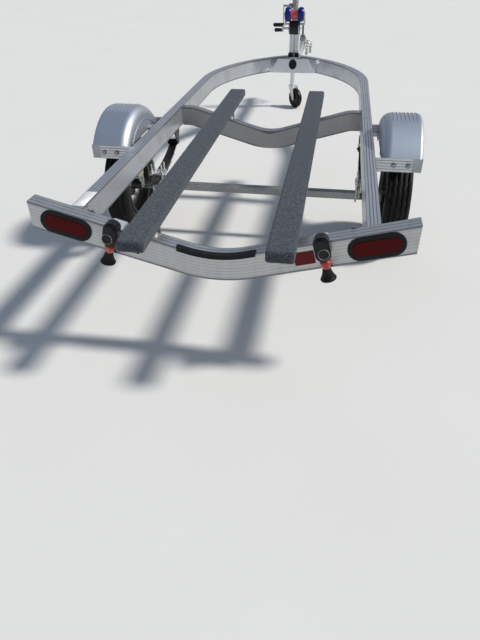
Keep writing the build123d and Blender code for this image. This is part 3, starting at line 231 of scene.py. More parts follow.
def channel_finish(name, lay_out, flange_pitch=flute_pitch, web_groove=1.0, brushed=0.0,
                   dark=(0.45, 0.48, 0.52), pale=(0.66, 0.68, 0.71), bumped=1.0):
    """lay_out gives the drop below the top line, the place across a flange and along it.

    bumped is how much of the grooves the bump draws: none where the mesh has them cut.
    """
    finish = Finish(name, Metallic=0.82)
    drop, across, along = lay_out(finish)
    on_flange = finish.choose(drop < flange_zone, 1.0, drop > channel_height - flange_zone)
    on_web = groove_mask(finish, drop, web_groove_share) * web_groove
    on_top = groove_mask(finish, across, flange_groove_half / flange_pitch, flange_pitch)
    groove = finish.choose(on_flange, on_top, on_web)
    drawn = finish.noise(1.0, 3.0, finish.vector(along * 3, drop * 500, across * 500))
    rubbed = finish.noise(1.0, 3.0, finish.vector(along * 45, drop * 2, across * 2))
    grain = drawn * (1 - brushed) + rubbed * brushed
    water = finish.noise(9.0, 4.0)
    stain = finish.ease(water, 0.5, 0.72)
    clean = finish.mix(grain, dark, pale)
    dull = finish.mix(stain * 0.45, clean, (0.44, 0.43, 0.41))
    # Groove lines are mixed towards a dark blue-grey: painted shade in the grooves, also where the
    # mesh has them cut.
    groove_shaded_colour = finish.mix(groove * 0.8, dull, (0.11, 0.12, 0.145))
    roughness = 0.24 + grain * 0.14 + stain * 0.16
    return finish.surface(groove_shaded_colour, roughness, drawn * 0.10 - groove * bumped, 0.0009, 0.8)


def rail_lay_out(finish):
    """The rails run straight, then swing round an arc, so flange place is a radius there."""
    side = abs(finish.x)
    ahead = finish.y - sweep_y
    onward = finish.math("MAXIMUM", ahead, 0.0)
    reach = ((side - sweep_centre_x) ** 2.0 + onward ** 2.0) ** 0.5
    return rail_top - finish.z, reach + (sweep_centre_x - rail_inner), finish.y


def rear_cross_lay_out(finish):
    """Two sloping arms that meet in a round bend, whose centre is above the middle."""
    side = abs(finish.x)
    centre_z = cross_vertex + cross_bend / math.cos(cross_slope)
    below = centre_z - finish.z
    in_bend = side < below * math.tan(cross_slope)
    bend_drop = (side ** 2.0 + below ** 2.0) ** 0.5 - cross_bend
    arm_drop = (cross_vertex + side * math.tan(cross_slope) - finish.z) * math.cos(cross_slope)
    return finish.choose(in_bend, bend_drop, arm_drop), finish.y - rear_y, finish.x


def front_cross_lay_out(finish):
    """The front crossmember falls the same way from level ends."""
    steepness = math.tan(front_cross_slope)
    side = finish.math("MINIMUM", abs(finish.x), front_cross_flat)
    top = (front_cross_top - front_cross_flat * steepness) + side * steepness
    return (top - finish.z) * math.cos(front_cross_slope), finish.y - front_cross_y, finish.x


def arm_lay_out(finish):
    """The fender arms have ribs along them, one above the other, and no flange."""
    arm_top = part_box("fender_arms")[1][2]
    return arm_top - finish.z + 2.5 * channel_flange, finish.y, finish.x


rail_finish = channel_finish("rail_aluminium", rail_lay_out, bumped=0.0)
rear_cross_finish = channel_finish(
    "rear_crossmember_aluminium", rear_cross_lay_out, flange_pitch=0.0212, web_groove=0.35,
    brushed=0.6, dark=(0.37, 0.38, 0.39), pale=(0.60, 0.61, 0.61),
)
# The front crossmember's darker tones are painted shade; it is the same aluminium as the rear one.
front_cross_shaded_finish = channel_finish(
    "front_crossmember_shaded_aluminium", front_cross_lay_out, flange_pitch=0.0148, web_groove=0.35,
    brushed=0.3, dark=(0.28, 0.29, 0.30), pale=(0.48, 0.48, 0.48),
)
arm_finish = channel_finish("arm_aluminium", arm_lay_out)

# %% [markdown]
# ## Plain sheet and tube metals
# The nose plate and post are smooth aluminium, the springs are black paint over steel, and
# brackets, bolts and chain are zinc. Zinc dries in crystals a few millimetres wide, which a
# Voronoi pattern gives at once: each cell has its own brightness, dulled by a broad noise.

# %% Smooth aluminium
def smooth_aluminium(name, pale, dark):
    finish = Finish(name, Metallic=0.8)
    drawn = finish.noise(1.0, 3.0, finish.vector(finish.x * 260, finish.y * 260, finish.z * 5))
    smear = finish.noise(14.0, 4.0)
    scuffs = finish.ease(finish.noise(70.0, 6.0), 0.6, 0.75)
    tone = finish.mix(drawn * 0.6 + smear * 0.4, dark, pale)
    scuffed = finish.mix(scuffs * 0.3, tone, (0.36, 0.37, 0.38))
    roughness = 0.26 + smear * 0.16 + scuffs * 0.15
    return finish.surface(scuffed, roughness, drawn * 0.3 + scuffs * 0.4, 0.0004, 0.6)


plate_finish = smooth_aluminium("plate_aluminium", (0.90, 0.93, 0.97), (0.70, 0.73, 0.79))
tongue_finish = smooth_aluminium("tongue_aluminium", (0.68, 0.70, 0.73), (0.47, 0.49, 0.52))

# %% Zinc with its crystals
def zinc(name, pale, dark):
    finish = Finish(name, Metallic=0.78)
    crystal = finish.cells(210.0)
    cloud = finish.noise(22.0, 4.0)
    chalk = finish.ease(cloud, 0.52, 0.74)
    tone = finish.mix(crystal * 0.55 + cloud * 0.45, dark, pale)
    chalky = finish.mix(chalk * 0.35, tone, (0.46, 0.46, 0.44))
    roughness = 0.34 + crystal * 0.16 + chalk * 0.18
    height = crystal * 0.4 + finish.noise(600.0, 2.0) * 0.5
    return finish.surface(chalky, roughness, height, 0.0003, 0.5)


zinc_finish = zinc("zinc_steel_look", (0.42, 0.43, 0.43), (0.17, 0.18, 0.185))
bright_zinc = zinc("bright_zinc", (0.88, 0.88, 0.87), (0.55, 0.56, 0.57))

# %% Black paint on springs and winch
deep_black = (0.006, 0.006, 0.007)
dusty_black = (0.040, 0.037, 0.033)


finish = Finish("black_spring_paint", Metallic=0.0, Specular_IOR_Level=0.3)
dust = finish.ease(finish.noise(18.0, 5.0), 0.48, 0.75)
chips = finish.ease(finish.noise(150.0, 4.0), 0.66, 0.72)
painted = finish.mix(dust, deep_black, dusty_black)
chipped = finish.mix(chips * 0.4, painted, (0.13, 0.10, 0.08))
height = finish.noise(420.0, 3.0) - chips * 0.8
black_finish = finish.surface(chipped, 0.34 + dust * 0.35, height, 0.0003, 0.5)

# %% Hangers: black ahead of the axle, yellowed zinc behind it
finish = Finish("hanger_coat", Specular_IOR_Level=0.3)
painted = finish.y > axle_y
crystal = finish.cells(210.0)
dust = finish.ease(finish.noise(18.0, 5.0), 0.48, 0.75)
black = finish.mix(dust, deep_black, dusty_black)
zinc_tone = finish.mix(crystal, (0.34, 0.32, 0.24), (0.60, 0.58, 0.48))
coat = finish.mix(painted, zinc_tone, black)
height = crystal * 0.4 + finish.noise(420.0, 3.0) * 0.6
finish.put("Metallic", 0.75 * (1 - painted))
hanger_finish = finish.surface(coat, 0.36 + dust * 0.3, height, 0.0003, 0.5)

# %% [markdown]
# ## Fenders
# The fenders are pressed sheet with a smooth silver coat, the shiniest thing on the trailer.
# They need little pattern: a fine orange peel under a clear coat, and road dust that has
# settled low down, which is a mask on height.

# %% Silver fender coat
finish = Finish("silver_fender_coat", Metallic=0.9, Coat_Weight=0.3, Coat_Roughness=0.20)
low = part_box("fender_left")[0][2]
haze = finish.noise(6.0, 4.0)
settled = (1 - finish.ease(finish.z, low, low + 0.12)) * finish.noise(60.0, 5.0)
silver = finish.mix(haze, (0.40, 0.44, 0.49), (0.50, 0.53, 0.57))
dusty = finish.mix(settled * 0.5, silver, (0.34, 0.32, 0.28))
roughness = 0.47 + haze * 0.06 + settled * 0.3
fender_finish = finish.surface(dusty, roughness, finish.noise(900.0, 1.0), 0.0001, 0.35)

# %% [markdown]
# ## Rubber, plastic and webbing
# Rubber and moulded plastic differ mostly in how they scatter light: rubber is rough and
# greys where it is rubbed, plastic has a fine grain and a soft shine. One helper makes both
# from a colour, a worn colour and a roughness, so that no two pieces look cut from one block.

# %% Moulded finishes
def moulded(name, colour, worn, roughness, grain=700.0, shine=0.3, pin_from=None, coat=0.0):
    """pin_from is how far out from the middle a steel pin shows in the same node."""
    finish = Finish(name, Specular_IOR_Level=shine, Coat_Weight=coat, Coat_Roughness=0.25)
    rubbed = finish.ease(finish.noise(35.0, 5.0), 0.5, 0.8)
    tone = finish.mix(rubbed, colour, worn)
    if pin_from:
        pin = abs(finish.x) > pin_from
        tone = finish.mix(pin, tone, (0.55, 0.55, 0.54))
        finish.put("Metallic", pin * 0.8)
    worn_roughness = roughness + rubbed * 0.2
    return finish.surface(tone, worn_roughness, finish.noise(grain, 2.0), 0.0003, 0.45)


black_rubber = moulded("black_rubber_look", deep_black, (0.022, 0.021, 0.020), 0.45, shine=0.2)
black_plastic = moulded("black_plastic_look", deep_black, (0.018, 0.018, 0.021), 0.28)
blue_bell = moulded(
    "blue_bell_plastic", (0.004, 0.012, 0.15), (0.010, 0.025, 0.24), 0.24, grain=400.0,
)
red_core = moulded(
    "red_core_plastic", (0.50, 0.030, 0.034), (0.72, 0.20, 0.20), 0.30, grain=400.0, shine=0.6,
    pin_from=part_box("bow_roller_bells")[1][0], coat=0.8,
)
red_knob = moulded(
    "red_knob_plastic", (0.34, 0.007, 0.007), (0.62, 0.20, 0.17), 0.26, grain=160.0, shine=0.5,
    coat=0.4,
)

# %% Woven strap
finish = Finish("strap_webbing_look")
warp = finish.math("SINE", finish.x * 2600.0)
weft = finish.math("SINE", (finish.z + finish.y) * 1900.0)
weave = warp * weft
colour = finish.mix(weave * 0.5 + 0.5, deep_black, (0.026, 0.026, 0.028))
webbing = finish.surface(colour, 0.62 + finish.noise(80.0, 3.0) * 0.2, weave, 0.0004, 0.8)

# %% [markdown]
# ## Red lamps and reflectors
# A tail lamp's lens is clear red plastic with ribs moulded inside it that spread the light.
# Real glass with a lamp behind it would be slow and dark here, so the ribs are drawn in the
# colour of one deep red surface under a glossy coat. The reflector has a tight honeycomb.

# %% Lens with inner ribs
finish = Finish(
    "lamp_lens_look", Coat_Weight=0.08, Coat_Roughness=0.04, Specular_IOR_Level=0.06,
)
rib = finish.math("SINE", finish.x * 900.0)
bar = finish.math("SINE", finish.z * 620.0)
pattern = rib * 0.20 + bar * 0.12 + 0.5
red = finish.mix(pattern, (0.030, 0.0006, 0.0010), (0.130, 0.0020, 0.0034))
lens_finish = finish.surface(red, 0.25, pattern, 0.0006, 0.35)

# %% Reflector with a honeycomb
finish = Finish(
    "reflector_look", Coat_Weight=0.12, Coat_Roughness=0.06, Specular_IOR_Level=0.15,
)
flat = finish.vector(finish.x, finish.z, 0.0)
edge = finish.cells(420.0, "Distance", flat)
red = finish.mix(edge, (0.20, 0.003, 0.005), (0.075, 0.001, 0.002))
reflector_finish = finish.surface(red, 0.22 + edge * 0.3, 1 - edge, 0.0004, 0.5)

# %% [markdown]
# ## Wheels
# The pressed wheels are silver paint over steel, on plain hubs in black paint. Dust gathers
# towards the rim, so the dirt mask is a distance from the axle, worked out from the wheel's
# own box and not from where the camera stands. The inner face of each wheel is darkened to
# near black, which is painted shade.

# %% Wheel paint
def wheel_paint_and_shade(side):
    finish = Finish(f"wheel_paint_and_shade_{side}", Coat_Weight=0.15)
    centre_x, centre_y, centre_z = middle_of(f"wheel_{side}")
    reach = finish.axle_distance(centre_y, centre_z)
    # Points on the inner side of the wheel are mixed to near black: painted shade.
    inward = (finish.x - centre_x) * (1.0 if side == "left" else -1.0)
    inner = finish.ease(inward, -0.02, 0.012)
    grime = finish.ease(reach, 0.07, 0.165) * finish.noise(45.0, 5.0)
    silver = finish.mix(finish.noise(12.0, 3.0), (0.50, 0.51, 0.53), (0.62, 0.63, 0.64))
    dusty = finish.mix(grime * 0.8, silver, (0.10, 0.09, 0.08))
    paint = finish.mix(inner, dusty, (0.030, 0.028, 0.026))
    roughness = 0.34 + grime * 0.35 + inner * 0.3
    finish.put("Metallic", 0.4 - inner * 0.4)
    return finish.surface(paint, roughness, finish.noise(500.0, 2.0), 0.0002, 0.4)


wheel_finishes = {side: wheel_paint_and_shade(side) for side, _ in sides}

# %% [markdown]
# ## Dress the CAD nodes
# A CAD node whose shape is right stays and only changes its material. A table keeps this in
# one place: each finish names the nodes that wear it, and a loop fills their slots.

# %% Finish of each node
dress = (
    (rear_cross_finish, ("rear_crossmember",)),
    (front_cross_shaded_finish, ("front_crossmember",)),
    (plate_finish, ("nose_plate", "winch_post", "post_foot")),
    (tongue_finish, ("tongue",)),
    (arm_finish, ("fender_arms",)),
    (zinc_finish, (
        "axle", "corner_clips", "spring_pins", "bunk_brackets", "bow_bracket", "jack_tube",
        "jack_bracket", "jack_gearbox", "jack_crank", "coupler", "latch_ears", "coupler_latch",
    )),
    (hanger_finish, ("spring_hangers",)),
    (bright_zinc, ("spring_clamps", "jack_fork", "jack_leg", "winch_crank_drum")),
    (black_finish, ("leaf_springs", "winch_frame", "hub_left", "hub_right")),
    (fender_finish, ("fender_left", "fender_right")),
    (black_rubber, (
        "lamp_grommets", "edge_trim", "tie_down_bells", "post_pads", "jack_tyre",
    )),
    (black_plastic, (
        "tie_down_housings", "tongue_cap", "winch_grip", "jack_grip", "jack_wheel",
    )),
    (webbing, ("winch_strap",)),
    (blue_bell, ("bow_roller_bells",)),
    (red_core, ("bow_roller_core",)),
    (red_knob, ("tie_down_knobs",)),
    (lens_finish, ("lamp_lenses",)),
    (reflector_finish, ("reflectors",)),
    (wheel_finishes["left"], ("wheel_left",)),
    (wheel_finishes["right"], ("wheel_right",)),
)
for material, nodes in dress:
    for node in nodes:
        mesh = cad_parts[node].data
        mesh.materials.clear()
        mesh.materials.append(material)
dressed = {node for _, nodes in dress for node in nodes}
print("dressed", len(dressed), "to be replaced", sorted(set(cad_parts) - dressed))

# %% [markdown]
# ## Meshes from rings
# Rails, tyres and bunks are all closed loops of points joined one to the next. A helper that
# skins a list of rings serves them all, so that each piece only has to say where its rings
# are. It can close the last ring to the first, as a tyre needs, or cap the two ends.

# %% Skin a list of rings
def put_in_scene(name, data):
    """An object for a mesh, a lamp or a camera."""
    made = bpy.data.objects.new(name, data)
    bpy.context.collection.objects.link(made)
    return made


def skin(name, rings, material, body="trailer_frame", closed=False, smooth=True):
    """Joins rings of equal length into one piece that rides on a body."""
    shape = bmesh.new()
    loops = [[shape.verts.new(point) for point in ring] for ring in rings]
    size = len(rings[0])
    pairs = list(zip(loops, loops[1:])) + ([(loops[-1], loops[0])] if closed else [])
    for first, second in pairs:
        for step in range(size):
            after = (step + 1) % size
            shape.faces.new((first[step], first[after], second[after], second[step]))
    if not closed:
        shape.faces.new(loops[0])
        shape.faces.new(loops[-1])
    bmesh.ops.recalc_face_normals(shape, faces=shape.faces)
    mesh = bpy.data.meshes.new(name)
    shape.to_mesh(mesh)
    shape.free()
    for face in mesh.polygons:
        face.use_smooth = smooth
    mesh.materials.append(material)
    piece = put_in_scene(name, mesh)
    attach(piece, body)
    return piece


def circle(radius, count=8):
    turns = [2 * math.pi * step / count for step in range(count)]
    return [(radius * math.cos(turn), radius * math.sin(turn)) for turn in turns]


# %% [markdown]
# ## Rails with cut flutes
# The rails are one extruded section, bent in plan. Their flutes show on the web and flanges
# from every side, so here they are real notches: the section is drawn once, with a shallow
# vee every half inch, and swept along the straight and round the arc. Each line of the
# section has its own end angle, so that the cut end lies flat against the tongue.

# %% Section of a rail
rail_web = 0.0048
rail_flange_width = 0.0508
flute_depth = 0.0007
flute_half = 0.0011


def notched(start, end, first):
    """Points from start up to, not with, end, with a vee at first and every pitch after it."""
    begin, heading = Vector(start), Vector(end) - Vector(start)
    length = heading.length
    heading.normalize()
    inward = Vector((-heading.y, heading.x))
    points = [begin]
    place = first
    while place < length - 2 * flute_half:
        points.append(begin + heading * (place - flute_half))
        points.append(begin + heading * place + inward * flute_depth)
        points.append(begin + heading * (place + flute_half))
        place += flute_pitch
    return points


def rail_section():
    """(out from the web's inner face, up from the foot), the solid always on the left."""
    low, high = channel_flange, channel_height - channel_flange
    section = notched((0, 0), (rail_flange_width, 0), flute_pitch)
    section += [Vector((rail_flange_width, 0)), Vector((rail_flange_width, low))]
    section += notched((rail_web, low), (rail_web, high), flute_pitch - low)
    section += [Vector((rail_web, high)), Vector((rail_flange_width, high))]
    section += notched((rail_flange_width, channel_height), (0, channel_height), flute_pitch)
    return section + notched((0, channel_height), (0, 0), flute_pitch)


section = rail_section()
print("rail section", len(section), "points")

# %% Rail meshes
tongue_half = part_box("tongue")[1][0]
rail_foot = rail_top - channel_height
rail_start = rail_box[0][1]
arc_steps = 48
crease = math.radians(20)
for side, sign in sides:
    rings = [[(sign * (rail_inner + out), rail_start, rail_foot + up) for out, up in section]]
    for step in range(arc_steps + 1):
        ring = []
        for out, up in section:
            radius = sweep_radius + out
            whole_turn = math.acos((tongue_half - sweep_centre_x) / radius)
            turn = whole_turn * step / arc_steps
            x = sweep_centre_x + radius * math.cos(turn)
            ring.append((sign * x, sweep_y + radius * math.sin(turn), rail_foot + up))
        rings.append(ring)
    rail = skin(f"rail_{side}_fluted", rings, rail_finish)
    rail.data.set_sharp_from_angle(angle=crease)
    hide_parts(f"rail_{side}")
    print("rail", side, len(rail.data.polygons), "faces")

# %% [markdown]
# ## Tyres with tread
# A trailer tyre has straight ribs with zigzag edges, and plain walls with a raised ring. The
# tread could be bump alone, but from behind its outline shows, so the profile has real
# grooves. It is spun round the axle, and each groove is pushed sideways on every other step.

# %% Tyre rubber
finish = Finish("tyre_rubber_look", Specular_IOR_Level=0.2)
_, centre_y, centre_z = middle_of("tyre_left")
turn = finish.math("ARCTAN2", finish.z - centre_z, finish.y - centre_y)
reach = finish.axle_distance(centre_y, centre_z)
on_tread = finish.ease(reach, 0.240, 0.247)
sipe = finish.math("SINE", turn * 150.0 + finish.x * 420.0)
cut = finish.ease(sipe, 0.72, 0.92) * on_tread
dust = finish.ease(finish.noise(26.0, 5.0), 0.45, 0.75)
rubber = finish.mix(dust, (0.005, 0.005, 0.006), (0.026, 0.024, 0.021))
# Sipes are coloured near black, darker than clean rubber: painted shade in the cuts, besides their
# bump.
colour = finish.mix(cut, rubber, (0.002, 0.002, 0.002))
height = finish.noise(500.0, 2.0) * 0.3 - cut
tyre_rubber_finish = finish.surface(colour, 0.52 + dust * 0.3, height, 0.0014, 0.6)

# %% Tyre mesh
tyre_steps = 132
wall_places = (
    (0.046, 0.1066), (0.046, 0.093), (0.0530, 0.083), (0.0590, 0.068), (0.0608, 0.064),
    (0.0612, 0.060), (0.0620, 0.048), (0.0606, 0.034), (0.0572, 0.022),
)
crown_half = 0.052
crown_rise = 0.014
groove_places = (-0.036, -0.012, 0.012, 0.036)
groove_half = 0.0026
groove_depth = 0.006
zigzag_push = 0.0016


def crown_radius(offset, outside):
    return outside - crown_rise * (offset / crown_half) ** 2


def tyre_profile(outside):
    """(offset from the middle, radius, zigzag) from one bead over the tread to the other."""
    wall = [(offset, outside - drop, 0) for offset, drop in wall_places]
    tread = []
    for place in groove_places:
        for step, depth in ((-1.5, 0), (-1, 1), (1, 1), (1.5, 0)):
            offset = place + step * groove_half
            radius = crown_radius(offset, outside) - depth * groove_depth
            tread.append((offset, radius, 1))
    shoulder = [(crown_half, crown_radius(crown_half, outside), 0)]
    near_wall = [(-offset, radius, zigzag) for offset, radius, zigzag in wall + shoulder]
    return near_wall + tread + list(reversed(wall + shoulder))


def tyre(side):
    low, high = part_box(f"tyre_{side}")
    x, y, z = middle_of(f"tyre_{side}")
    outside = (high[2] - low[2]) / 2
    rings = []
    for step, (ahead, rise) in enumerate(circle(1.0, tyre_steps)):
        push = zigzag_push if step % 4 < 2 else -zigzag_push
        rings.append([
            (x + offset + push * zigzag, y + radius * ahead, z + radius * rise)
            for offset, radius, zigzag in tyre_profile(outside)
        ])
    name, body = f"tyre_{side}_with_tread", f"road_wheel_{side}"
    piece = skin(name, rings, tyre_rubber_finish, body, closed=True)
    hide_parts(f"tyre_{side}")
    return piece


for side, _ in sides:
    print("tyre", side, len(tyre(side).data.polygons), "faces")

# %% [markdown]
# ## Carpeted bunks
# Each bunk is a plank wrapped in grey outdoor carpet, which rounds its edges and hides the
# timber. The pile is too fine to model thread by thread, so the mesh has a close grid that
# a noise pushes in and out by under a millimetre, and the material adds the loops themselves.

# %% Carpet finish
finish = Finish("grey_carpet", Sheen_Weight=0.12, Sheen_Roughness=0.6, Specular_IOR_Level=0.15)
fibres = finish.noise(1100.0, 4.0)
loops = finish.noise(225.0, 3.0)
patches = finish.noise(14.0, 3.0)
strands = finish.ease(fibres, 0.30, 0.70)
thread = finish.mix(strands, (0.008, 0.010, 0.014), (0.054, 0.065, 0.080))
flecked = finish.mix(finish.ease(loops, 0.51, 0.63) * 0.7, thread, (0.122, 0.142, 0.167))
worn = finish.ease(patches, 0.5, 0.8) * 0.35
colour = finish.mix(worn, flecked, (0.050, 0.050, 0.050))
carpet_finish = finish.surface(colour, 0.95, loops * 0.8 + fibres * 0.4, 0.0024, 0.9)

# %% Bunk mesh
bunk_rise = 0.007
bunk_step = 0.006
corner_radius = 0.010
pile_height = 0.0011
pile_noise = 210.0
end_round = 0.010


def rounded_outline(half_width, half_height, radius, spacing):
    """Points round a rectangle with round corners, about evenly spaced, with their normals."""
    outline = []
    corners = ((1, 1, 0), (-1, 1, 90), (-1, -1, 180), (1, -1, 270))
    for index, (across, up, start) in enumerate(corners):
        centre = Vector((across * (half_width - radius), up * (half_height - radius)))
        for step in range(5):
            angle = math.radians(start + 90 * step / 4)
            normal = Vector((math.cos(angle), math.sin(angle)))
            outline.append((centre + normal * radius, normal))
        run = 2 * (half_width if index % 2 == 0 else half_height) - 2 * radius
        count = int(run / spacing)
        begin, normal = outline[-1]
        heading = Vector((-normal.y, normal.x))
        for step in range(1, count):
            outline.append((begin + heading * run * step / count, normal))
    return outline


def bunk(side):
    low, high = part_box(f"bunk_{side}")
    centre_x = middle_of(f"bunk_{side}")[0]
    half_width = (high[0] - low[0]) / 2 - pile_height
    half_height = (high[2] - low[2] - bunk_rise) / 2 - pile_height
    length = high[1] - low[1]
    outline = rounded_outline(half_width, half_height, corner_radius, bunk_step)
    rings = []
    count = int(length / bunk_step)
    for index in range(count + 1):
        y = low[1] + length * index / count
        from_end = min(y - low[1], high[1] - y)
        past_round = 1 - min(from_end / end_round, 1)
        inset = end_round * (1 - math.sqrt(max(0.0, 1 - past_round ** 2)))
        centre_z = low[2] + half_height + pile_height + bunk_rise * index / count
        ring = []
        for point, normal in outline:
            spot = Vector((centre_x + point.x, y, centre_z + point.y))
            fuzz = noise.noise(spot * pile_noise) * pile_height
            out = fuzz - inset
            ring.append((spot.x + normal.x * out, y, spot.z + normal.y * out))
        rings.append(ring)
    piece = skin(f"bunk_{side}_carpet", rings, carpet_finish)
    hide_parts(f"bunk_{side}")
    return piece


for side, _ in sides:
    print("bunk", side, len(bunk(side).data.polygons), "faces")

# %% [markdown]
# ## Bolts by Geometry Nodes
# Dozens of bolt heads hold the trailer together. Placing each by hand would be slow and
# copying meshes in Python clumsy, so a small mesh holds one point per bolt and a facing
# vector, and a node tree sets a washer and a six-sided head on each point.

# %% What every tree has
def add(tree, kind, inputs, output=0, **settings):
    """A node fed with numbers or with other nodes' outputs; hands back its own output."""
    made = tree.nodes.new(kind)
    for key, value in settings.items():
        setattr(made, key, value)
    for key, value in inputs.items():
        if isinstance(value, bpy.types.NodeSocket):
            tree.links.new(value, made.inputs[key])
        else:
            made.inputs[key].default_value = value
    return made.outputs[output]


def new_tree(name, numbers):
    """A tree with a shape, some named numbers and a finish for inputs, and a shape for output."""
    tree = bpy.data.node_groups.new(name, "GeometryNodeTree")
    tree.is_modifier = True
    face = tree.interface
    face.new_socket("Geometry", in_out="INPUT", socket_type="NodeSocketGeometry")
    for label, value in numbers:
        face.new_socket(label, in_out="INPUT", socket_type="NodeSocketFloat").default_value = value
    face.new_socket("Finish", in_out="INPUT", socket_type="NodeSocketMaterial")
    face.new_socket("Geometry", in_out="OUTPUT", socket_type="NodeSocketGeometry")
    return tree, tree.nodes.new("NodeGroupInput").outputs


def aimed(tree, attribute, axis, rotation=None):
    """A rotation that points an axis along the attribute's vector, about Z if one is given."""
    name = {"Name": attribute}
    read = add(tree, "GeometryNodeInputNamedAttribute", name, data_type="FLOAT_VECTOR")
    inputs = {"Vector": read, "Rotation": rotation} if rotation else {"Vector": read}
    pivot = "Z" if rotation else "AUTO"
    return add(tree, "FunctionNodeAlignEulerToVector", inputs, axis=axis, pivot_axis=pivot)


def set_out(tree, given, shape, rotation):
    """Puts the shape on every point, then makes one plain mesh of it in the given finish."""
    inputs = {"Points": given["Geometry"], "Instance": shape, "Rotation": rotation}
    spread = add(tree, "GeometryNodeInstanceOnPoints", inputs)
    realized = add(tree, "GeometryNodeRealizeInstances", {"Geometry": spread})
    inputs = {"Geometry": realized, "Material": given["Finish"]}
    painted = add(tree, "GeometryNodeSetMaterial", inputs)
    tree.links.new(painted, tree.nodes.new("NodeGroupOutput").inputs["Geometry"])


# %% The bolt tree
washer_thick = 0.002


def bolt_tree():
    """A six-sided head on a round washer, set on every point."""
    numbers = (("Head radius", 0.0090), ("Head height", 0.0065), ("Washer radius", 0.0125))
    tree, given = new_tree("bolt_heads", numbers)
    tall = given["Head height"]
    inputs = {"Vertices": 6, "Radius": given["Head radius"], "Depth": tall}
    head = add(tree, "GeometryNodeMeshCylinder", inputs)
    inputs = {"Vertices": 20, "Radius": given["Washer radius"], "Depth": washer_thick}
    washer = add(tree, "GeometryNodeMeshCylinder", inputs)
    inputs = {0: tall, 1: 0.5, 2: washer_thick}
    lift = add(tree, "ShaderNodeMath", inputs, operation="MULTIPLY_ADD")
    move = add(tree, "ShaderNodeCombineXYZ", {"Z": lift})
    head = add(tree, "GeometryNodeTransform", {"Geometry": head, "Translation": move})
    move = (0, 0, washer_thick / 2)
    washer = add(tree, "GeometryNodeTransform", {"Geometry": washer, "Translation": move})
    both = add(tree, "GeometryNodeJoinGeometry", {"Geometry": head})
    tree.links.new(washer, both.node.inputs["Geometry"])
    set_out(tree, given, both, aimed(tree, "facing", "Z"))
    return tree


heads = bolt_tree()
print("bolt tree", len(heads.nodes), "nodes")

# %% The chain tree
chain_wire = 0.00325


def chain_tree():
    """A round wire bent to a link with rounded ends, set on every point."""
    numbers = (
        ("Link length", 0.0305), ("Link width", 0.0155), ("End radius", 0.0077),
        ("Wire radius", chain_wire),
    )
    tree, given = new_tree("chain_links", numbers)
    inputs = {"Width": given["Link length"], "Height": given["Link width"]}
    outline = add(tree, "GeometryNodeCurvePrimitiveQuadrilateral", inputs)
    inputs = {"Count": 4, "Curve": outline, "Radius": given["End radius"]}
    rounded = add(tree, "GeometryNodeFilletCurve", inputs, mode="POLY")
    inputs = {"Resolution": 10, "Radius": given["Wire radius"]}
    wire = add(tree, "GeometryNodeCurvePrimitiveCircle", inputs)
    bent = add(tree, "GeometryNodeCurveToMesh", {"Curve": rounded, "Profile Curve": wire})
    set_out(tree, given, bent, aimed(tree, "along", "X", aimed(tree, "facing", "Z")))
    return tree


links = chain_tree()
print("chain tree", len(links.nodes), "nodes")

# %% Run a tree on points
def grow(name, tree, points, material, sizes, **vectors):
    """sizes are the tree's named inputs, vectors the attributes that it reads on the points."""
    mesh = bpy.data.meshes.new(name + "_points")
    mesh.from_pydata(points, [], [])
    for label, values in vectors.items():
        layer = mesh.attributes.new(label, "FLOAT_VECTOR", "POINT")
        for index, value in enumerate(values):
            layer.data[index].vector = value
    holder = put_in_scene(name + "_holder", mesh)
    modifier = holder.modifiers.new("grown", "NODES")
    modifier.node_group = tree
    sockets = [item for item in tree.interface.items_tree if item.in_out == "INPUT"]
    identifiers = {item.name: item.identifier for item in sockets}
    modifier[identifiers["Finish"]] = material
    for label, value in sizes.items():
        modifier[identifiers[label.replace("_", " ")]] = value
    evaluated = holder.evaluated_get(bpy.context.evaluated_depsgraph_get())
    grown = bpy.data.meshes.new_from_object(evaluated)
    grown.name = name
    bpy.data.objects.remove(holder)
    piece = put_in_scene(name, grown)
    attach(piece, "trailer_frame")
    return piece


def bolts(name, places, material, **sizes):
    """places is a list of (point, facing)."""
    points = [point for point, _ in places]
    facings = [facing for _, facing in places]
    return grow(name, heads, points, material, sizes, facing=facings)


# %% [markdown]
# ## Where the bolts go
# Each group is worked out from the box of the piece that it holds: two through each fender
# arm, two through each corner clip, four in the post's foot, four in the jack's plate, two in
# the foot of each bunk bracket and four in the coupler. Those on the arms are the ones that
# the photograph shows.

# %% Bolt places
def both_sides(places):
    """Each (point, facing) of the right side, and its mirror image on the left."""
    return [
        ((sign * x, y, z), (sign * facing[0], *facing[1:]))
        for sign in (-1, 1) for (x, y, z), facing in places
    ]


arm_z = middle_of("fender_arms")[2]
arm_thick = 0.005
arm_bolt_reaches = (0.660, 0.724)
arm_bolt_sink = 0.0012
fender_low, fender_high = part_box("fender_left")
arm_face = (fender_high[1] - fender_low[1]) / 2 + arm_thick - arm_bolt_sink
arm_bolts = both_sides([
    ((reach, axle_y + way * arm_face, arm_z), (0, way, 0))
    for reach in arm_bolt_reaches for way in (-1, 1)
])

clip_thick = 0.006
clip_face = rail_inner - clip_thick
clip_bolt_drops = (0.030, 0.072)
clip_places = (rear_y + 0.0985, front_cross_y + 0.036)
clip_bolts = both_sides([
    ((clip_face, y, rail_top - drop), (-1, 0, 0)) for y in clip_places for drop in clip_bolt_drops
])

foot_low, foot_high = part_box("post_foot")
foot_edge = (0.0065, 0.022)
foot_bolts = [
    ((x, y, foot_high[2]), (0, 0, 1))
    for x in (foot_low[0] + foot_edge[0], foot_high[0] - foot_edge[0])
    for y in (foot_low[1] + foot_edge[1], foot_high[1] - foot_edge[1])
]

